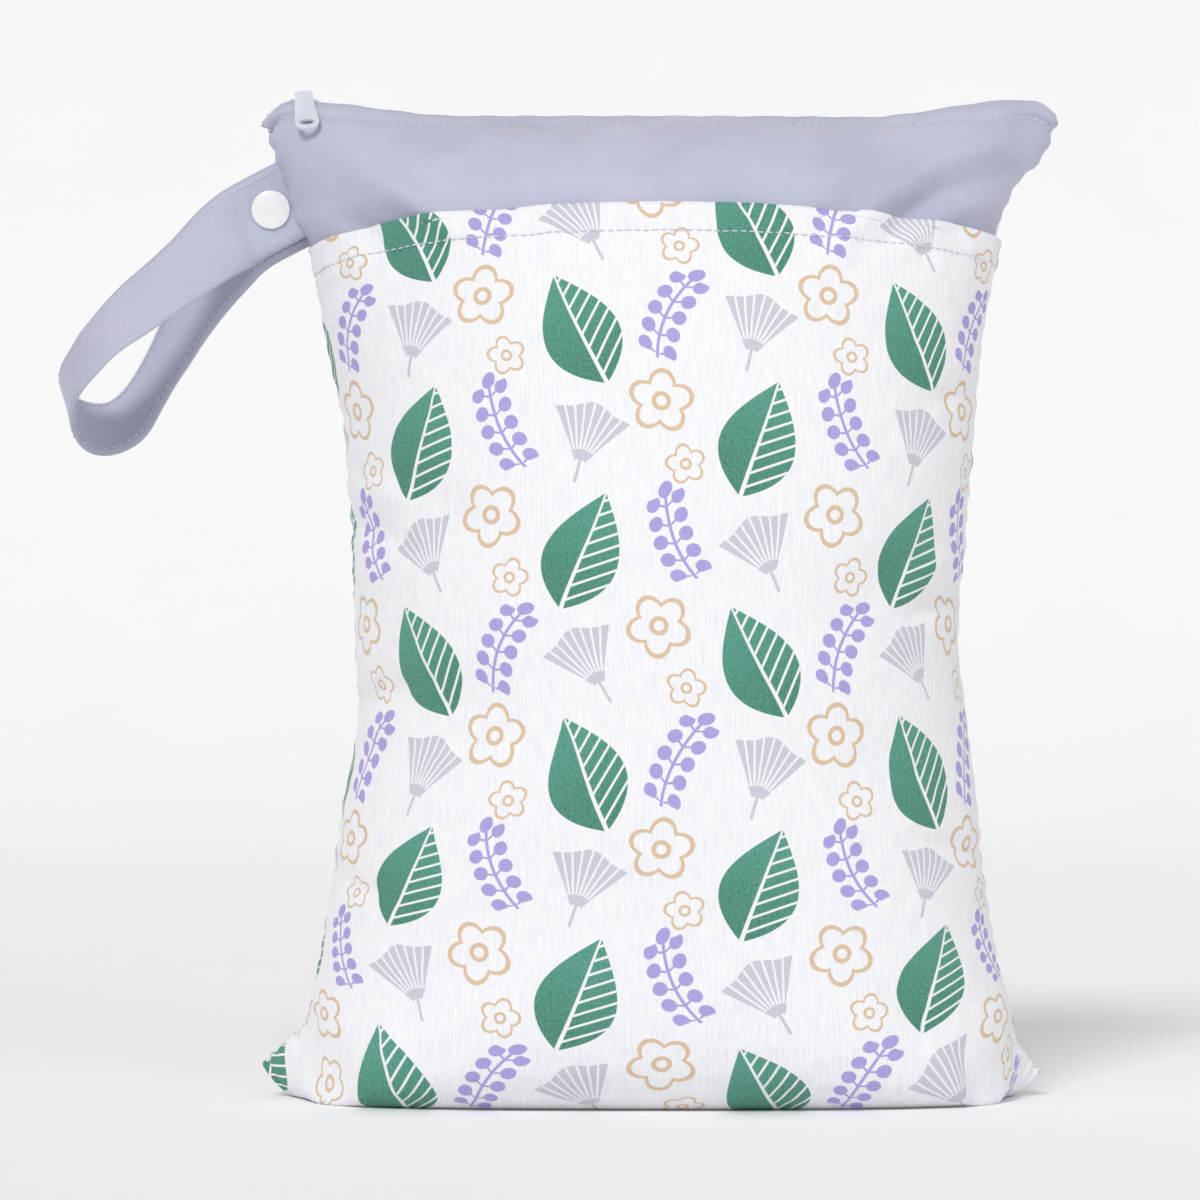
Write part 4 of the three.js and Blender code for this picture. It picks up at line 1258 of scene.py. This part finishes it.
def strapLine():
    def onSeam(below):
        up = 1 - below / bag["clothHeight"]
        return np.array([-bag["halfWidth"] * section["left"](up), 0, bag["height"] * section["leftUp"](up)])

    high, low = onSeam(strap["rootHigh"]), onSeam(strap["rootLow"])
    root = (high + low) / 2 - np.array([strap["clearance"], 0, 0])
    rootWidth = unit(low - high)
    slope = unit(np.array([-strap["seatSlope"][0], 0, -strap["seatSlope"][1]]))
    seatWidth = np.array([-slope[2], 0, slope[0]])

    def seat(y, drop):
        start = root + rootWidth * drop + np.array([0, y, 0])
        places = [start - slope * strap["tuck"]]
        places += [start + slope * strap["seatLength"] * share for share in (0, *strap["seatShares"])]
        return list(zip(places, (rootWidth, rootWidth, seatWidth, seatWidth, seatWidth)))

    stations = seat(-strap["frontSeat"], 0)
    for out, down, back, turn, lean in strapStations:
        turn, lean = math.radians(turn), math.radians(lean)
        place = root + np.array([-out * strap["reach"], back * strap["gape"], -down * strap["drop"]])
        flat = math.cos(lean)
        width = np.array([math.sin(turn) * flat, -math.sin(lean), -math.cos(turn) * flat])
        stations.append((place, width))
    stations += seat(strap["backSeat"], strap["backDrop"])[::-1]
    return np.array([s[0] for s in stations]), np.array([s[1] for s in stations])


def centripetal(points, count):
    # even steps along the centripetal curve through the points, and the station numbers there
    padded = np.concatenate([[2 * points[0] - points[1]], points, [2 * points[-1] - points[-2]]])
    dense, number = [], []
    for index in range(len(points) - 1):
        p0, p1, p2, p3 = padded[index:index + 4]
        t1 = max(np.linalg.norm(p1 - p0), 1e-9) ** 0.5
        t2 = t1 + max(np.linalg.norm(p2 - p1), 1e-9) ** 0.5
        t3 = t2 + max(np.linalg.norm(p3 - p2), 1e-9) ** 0.5
        for t in np.linspace(t1, t2, 40, endpoint=False):
            a1 = (t1 - t) / t1 * p0 + t / t1 * p1
            a2 = (t2 - t) / (t2 - t1) * p1 + (t - t1) / (t2 - t1) * p2
            a3 = (t3 - t) / (t3 - t2) * p2 + (t - t2) / (t3 - t2) * p3
            b1 = (t2 - t) / t2 * a1 + t / t2 * a2
            b2 = (t3 - t) / (t3 - t1) * a2 + (t - t1) / (t3 - t1) * a3
            dense.append((t2 - t) / (t2 - t1) * b1 + (t - t1) / (t2 - t1) * b2)
            number.append(index + (t - t1) / (t2 - t1))
    dense.append(points[-1])
    number.append(len(points) - 1)
    dense = np.array(dense)
    length = lengthAlong(dense)
    wanted = np.linspace(0, length[-1], count + 1)
    places = np.stack([np.interp(wanted, length, dense[:, axis]) for axis in range(3)], -1)
    return places, np.interp(wanted, length, number), length[-1]


def strapFrames():
    points, widths = strapLine()
    places, number, length = centripetal(points, strap["steps"])
    first = np.minimum(np.floor(number).astype(int), len(widths) - 2)
    width = mix(widths[first], widths[first + 1], ease(0, 1, number - first)[:, None])
    for _ in range(strap["evenTurns"]):
        width[1:-1] = (width[:-2] + 2 * width[1:-1] + width[2:]) / 4
        places[1:-1] = (places[:-2] + 6 * places[1:-1] + places[2:]) / 8
    along = unit(np.gradient(places, axis=0))
    inner = slice(1, -1)
    width[inner] -= along[inner] * (width[inner] * along[inner]).sum(-1, keepdims=True)
    width = unit(width)
    return places, width, unit(np.cross(along, width)), length


strapPlaces, strapWidths, strapNormals, strapLength = strapFrames()


def strapPoint(step, side, lift):
    # side: -0.5 upper edge to 0.5 lower edge, lift: out of the band's face
    return (strapPlaces[step] + strapWidths[step] * (side * strap["width"])[..., None]
            + strapNormals[step] * lift[..., None])


def strapRelief(step, side):
    # dents round the snap, a soft crown between the stitches and slow waves
    distance = step / strap["steps"] * strapLength
    fromEnd = np.minimum(distance, strapLength - distance) - strap["tuck"] - strap["snapFromSeam"]
    ring = np.sqrt(fromEnd ** 2 + (side * strap["width"]) ** 2)
    dent = -strap["dent"] * bell(ring - strap["dentRadius"], 0.003)
    crease = -strap["crease"] * bell(fromEnd - strap["creaseFromSnap"] - side * 0.012, 0.004)
    crown = strap["crown"] * np.cos(side * math.pi) ** 0.5
    fromStitch = (0.5 - np.abs(side)) * strap["width"] - strap["stitchMargin"]
    groove = -strap["groove"] * bell(fromStitch, 0.0009)
    wave = strap["wave"] * smallWaves(41, distance * 70) * np.sin(side * 5 + distance * 60)
    return dent + crease + crown + groove + wave


def makeStrap():
    steps, around = strap["steps"], strap["around"]
    half = around // 2
    edgeShare = np.linspace(-0.5, 0.5, half)
    fromMiddle = np.abs(edgeShare)
    sides = edgeShare * (1 - 0.012 * (fromMiddle > 0.49))
    beyond = np.maximum(0, fromMiddle - strap["roundFrom"]) / (0.5 - strap["roundFrom"])
    lift = strap["wall"] / 2 * np.sqrt(np.clip(1 - beyond ** 2, 0.12, 1))
    rings = []
    for step in range(steps + 1):
        relief = strapRelief(np.full(half, float(step)), edgeShare)
        index = np.full(half, step)
        outer = strapPoint(index, sides, lift + relief)
        inner = strapPoint(index, sides[::-1], relief[::-1] - lift[::-1])
        rings.append(np.concatenate([outer, inner]))
    points = np.array(rings)
    faces = gridFaces(steps, around, False, closed=True)
    faces.append(tuple(range(around))[::-1])
    faces.append(tuple(steps * around + index for index in range(around)))
    across = np.concatenate([edgeShare, edgeShare[::-1]]) * strap["width"]
    along = np.linspace(0, strapLength, steps + 1)
    uvs = np.stack(np.broadcast_arrays(across[None, :] + 0.5, along[:, None]), -1).reshape(-1, 2)
    thing = addMesh("wristStrap", points, faces, greyCloth, uvs=uvs)
    return facedOut(thing)


wristStrap = makeStrap()


def strapStitchLines():
    lines = []
    side = 0.5 - strap["stitchMargin"] / strap["width"]
    index = np.arange(3, strap["steps"] - 2)
    for end in (-side, side):
        for face in (-1, 1):
            sides = np.full(len(index), end)
            lift = face * (strap["wall"] / 2 + strap["threadProud"])
            lift = lift + strapRelief(index.astype(float), sides)
            lines.append(strapPoint(index, sides, lift))
    return lines


strapStitches = stitchLine("strapStitches", strapStitchLines(), strapThread, width=0.0005)


def latheMesh(name, profile, centre, axis, material, turns=72):
    # turns radius and height pairs round an axis through a centre
    axis = unit(np.array(axis, float))
    helper = unit(np.cross(axis, [1, 0, 0]))
    other = np.cross(axis, helper)
    angle = np.linspace(0, 2 * math.pi, turns, endpoint=False)
    rings = []
    for radius, height in profile[1:-1]:
        ring = (helper * np.cos(angle)[:, None] + other * np.sin(angle)[:, None]) * radius
        rings.append(ring + centre + axis * height)
    points = np.concatenate([*rings, [centre + axis * profile[0][1]], [centre + axis * profile[-1][1]]])
    faces = gridFaces(len(rings) - 1, turns, False, closed=True)
    low, high = len(points) - 2, len(points) - 1
    last = (len(rings) - 1) * turns
    faces += [(low, (step + 1) % turns, step) for step in range(turns)]
    faces += [(high, last + step, last + (step + 1) % turns) for step in range(turns)]
    thing = addMesh(name, points, faces, material)
    return facedOut(thing)


snap = {
    "radius": 0.007,
    "dome": 0.0017,
    "rim": 0.0007,
    "socketRadius": 0.0045,
    "seat": 0.0003,          # of cap and back disc into the cloth
}


def capProfile():
    # radius and height, from the flat back round the rim and over the shallow dome
    radius, rim, dome = snap["radius"], snap["rim"], snap["dome"]
    profile = [(0, 0), (radius * 0.9, 0), (radius * 0.965, rim * 0.12)]
    for step in range(1, 9):
        angle = math.pi * step / 16
        profile.append((radius * (0.97 + 0.03 * math.cos(angle)), rim * (0.15 + 0.85 * math.sin(angle))))
    for step in range(1, 13):
        share = step / 13
        height = rim + (dome - rim) * math.sin(share * math.pi / 2) ** 0.8
        profile.append((radius * 0.95 * (1 - share), height))
    profile.append((0, dome))
    return profile


def onFace(node, end, shift):
    # the middle of the front face (end 0) or back face (end 1) of a node's box, moved back by shift
    corners = np.array(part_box(node))
    middle = corners.mean(0)
    middle[1] = corners[end][1] + shift
    return middle


capPlace = onFace("snap_cap", 1, snap["seat"])
backPlace = onFace("snap_back", 0, -snap["seat"])
snapCap = latheMesh("snapCap", capProfile(), capPlace, (0, -1, 0), snapPlastic)
snapBack = latheMesh("snapBack", capProfile(), backPlace, (0, 1, 0), snapPlastic)
# shares of the socket's radius and depth
socketShape = [
    (0.0, 0.0), (0.9, 0.0), (1.0, 0.15), (1.0, 0.42), (0.8, 0.5),
    (1.0, 0.58), (1.0, 0.85), (0.9, 1.0), (0.0, 1.0),
]
socketPlace = onFace("snap_socket", 0, 0)
socketDeep = onFace("snap_socket", 1, 0)[1] - socketPlace[1]
socketProfile = [(snap["socketRadius"] * out, socketDeep * deep) for out, deep in socketShape]
snapSocket = latheMesh("snapSocket", socketProfile, socketPlace, (0, 1, 0), snapPlastic, 40)
stage("strap and snap made")


# Who rides on what

pieces = [
    (frontPanel, "bag", "grey_cloth", ["front_panel"]),
    (backPanel, "bag", "print_cloth", ["back_panel"]),
    (frontPocket, "bag", "print_cloth", ["front_pocket"]),
    (topStitchesFront, "bag", "grey_cloth", []),
    (topStitchesBack, "bag", "print_cloth", []),
    (hemStitches, "bag", "print_cloth", []),
    (tapeFront, "bag", "zip_tape", ["zipper_tape_front"]),
    (tapeBack, "bag", "zip_tape", ["zipper_tape_back"]),
    (tapeEnd, "bag", "zip_tape", []),
    (teethFront, "bag", "zip_coil", ["zipper_coil_front"]),
    (teethBack, "bag", "zip_coil", ["zipper_coil_back"]),
    (slider, "bag", "zip_metal", ["zipper_slider"]),
    (pull, "zip_pull", "zip_metal", ["zipper_pull"]),
    (wristStrap, "bag", "grey_cloth", ["wrist_strap"]),
    (strapStitches, "bag", "grey_cloth", []),
    (snapCap, "bag", "snap_plastic", ["snap_cap"]),
    (snapBack, "bag", "snap_plastic", ["snap_back"]),
    (snapSocket, "bag", "snap_plastic", ["snap_socket"]),
]
for piece, body, slot, nodes in pieces:
    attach(piece, body)
    if nodes:
        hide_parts(*nodes)


# Floor, light and camera

studio = {
    "distance": 1.6,
    "cameraX": -0.0207,
    "cameraHeight": 0.1805,
    "viewWidth": 0.4364,     # of the photograph at the bag's side seams
    "sensor": 0.036,
    "key": 1.5,              # from above the camera
    "keyPlace": (-0.45, -1.1, 1.3),
    "fill": 3.6,
    "fillPlace": (0.95, -1.2, 0.7),
    "lightAim": Vector((0, 0, 0.18)),
    "world": 0.43,
    "floorFront": -3.0,
    "floorDepth": 1.6,
    "floorSweep": 1.2,
    "floorTop": 5.0,
    "floorHalf": 6.0,
}


def makeStudio():
    floorMaterial, tree, shader = newMaterial("paleFloor", (0.93, 0.93, 0.94), 0.9)
    grain = noiseOf(tree, objectPlace(tree), 8, 3, 0.5)
    wire(tree, shader, Base_Color=blendColour(tree, grain, (0.92, 0.92, 0.93), (0.95, 0.95, 0.955)))
    depth, sweep, wide = studio["floorDepth"], studio["floorSweep"], studio["floorHalf"]
    profile = [(studio["floorFront"], 0.0), (depth, 0.0)]
    for angle in np.linspace(0.1, math.pi / 2, 14):
        profile.append((depth + sweep * math.sin(angle), sweep * (1 - math.cos(angle))))
    profile.append((depth + sweep, studio["floorTop"]))
    points = [(x, y, z) for y, z in profile for x in (-wide, wide)]
    faces = [(2 * i, 2 * i + 1, 2 * i + 3, 2 * i + 2) for i in range(len(profile) - 1)]
    floor = addMesh("floorSweep", points, faces, floorMaterial)
    world = bpy.data.worlds.new("studio")
    world.use_nodes = True
    world.node_tree.nodes["Background"].inputs[0].default_value = (1, 1, 1, 1)
    world.node_tree.nodes["Background"].inputs[1].default_value = studio["world"]
    bpy.context.scene.world = world
    for name, kind, place, size, power in (
        ("keyLight", "SUN", studio["keyPlace"], math.radians(20), studio["key"]),
        ("fillLight", "AREA", studio["fillPlace"], 1.1, studio["fill"]),
    ):
        data = bpy.data.lights.new(name, kind)
        if kind == "SUN":
            data.angle = size
        else:
            data.shape = "DISK"
            data.size = size
        data.energy = power
        light = newObject(name, data)
        light.location = place
        light.rotation_euler = (studio["lightAim"] - Vector(place)).to_track_quat("-Z", "Y").to_euler()
    data = bpy.data.cameras.new("camera")
    data.sensor_width = studio["sensor"] * 1000
    data.lens = studio["sensor"] * studio["distance"] / studio["viewWidth"] * 1000
    camera = newObject("camera", data)
    camera.location = (studio["cameraX"], -studio["distance"], studio["cameraHeight"])
    camera.rotation_euler = (math.pi / 2, 0, 0)
    bpy.context.scene.camera = camera
    bpy.context.scene.view_settings.view_transform = "Standard"


makeStudio()
stage("studio set")
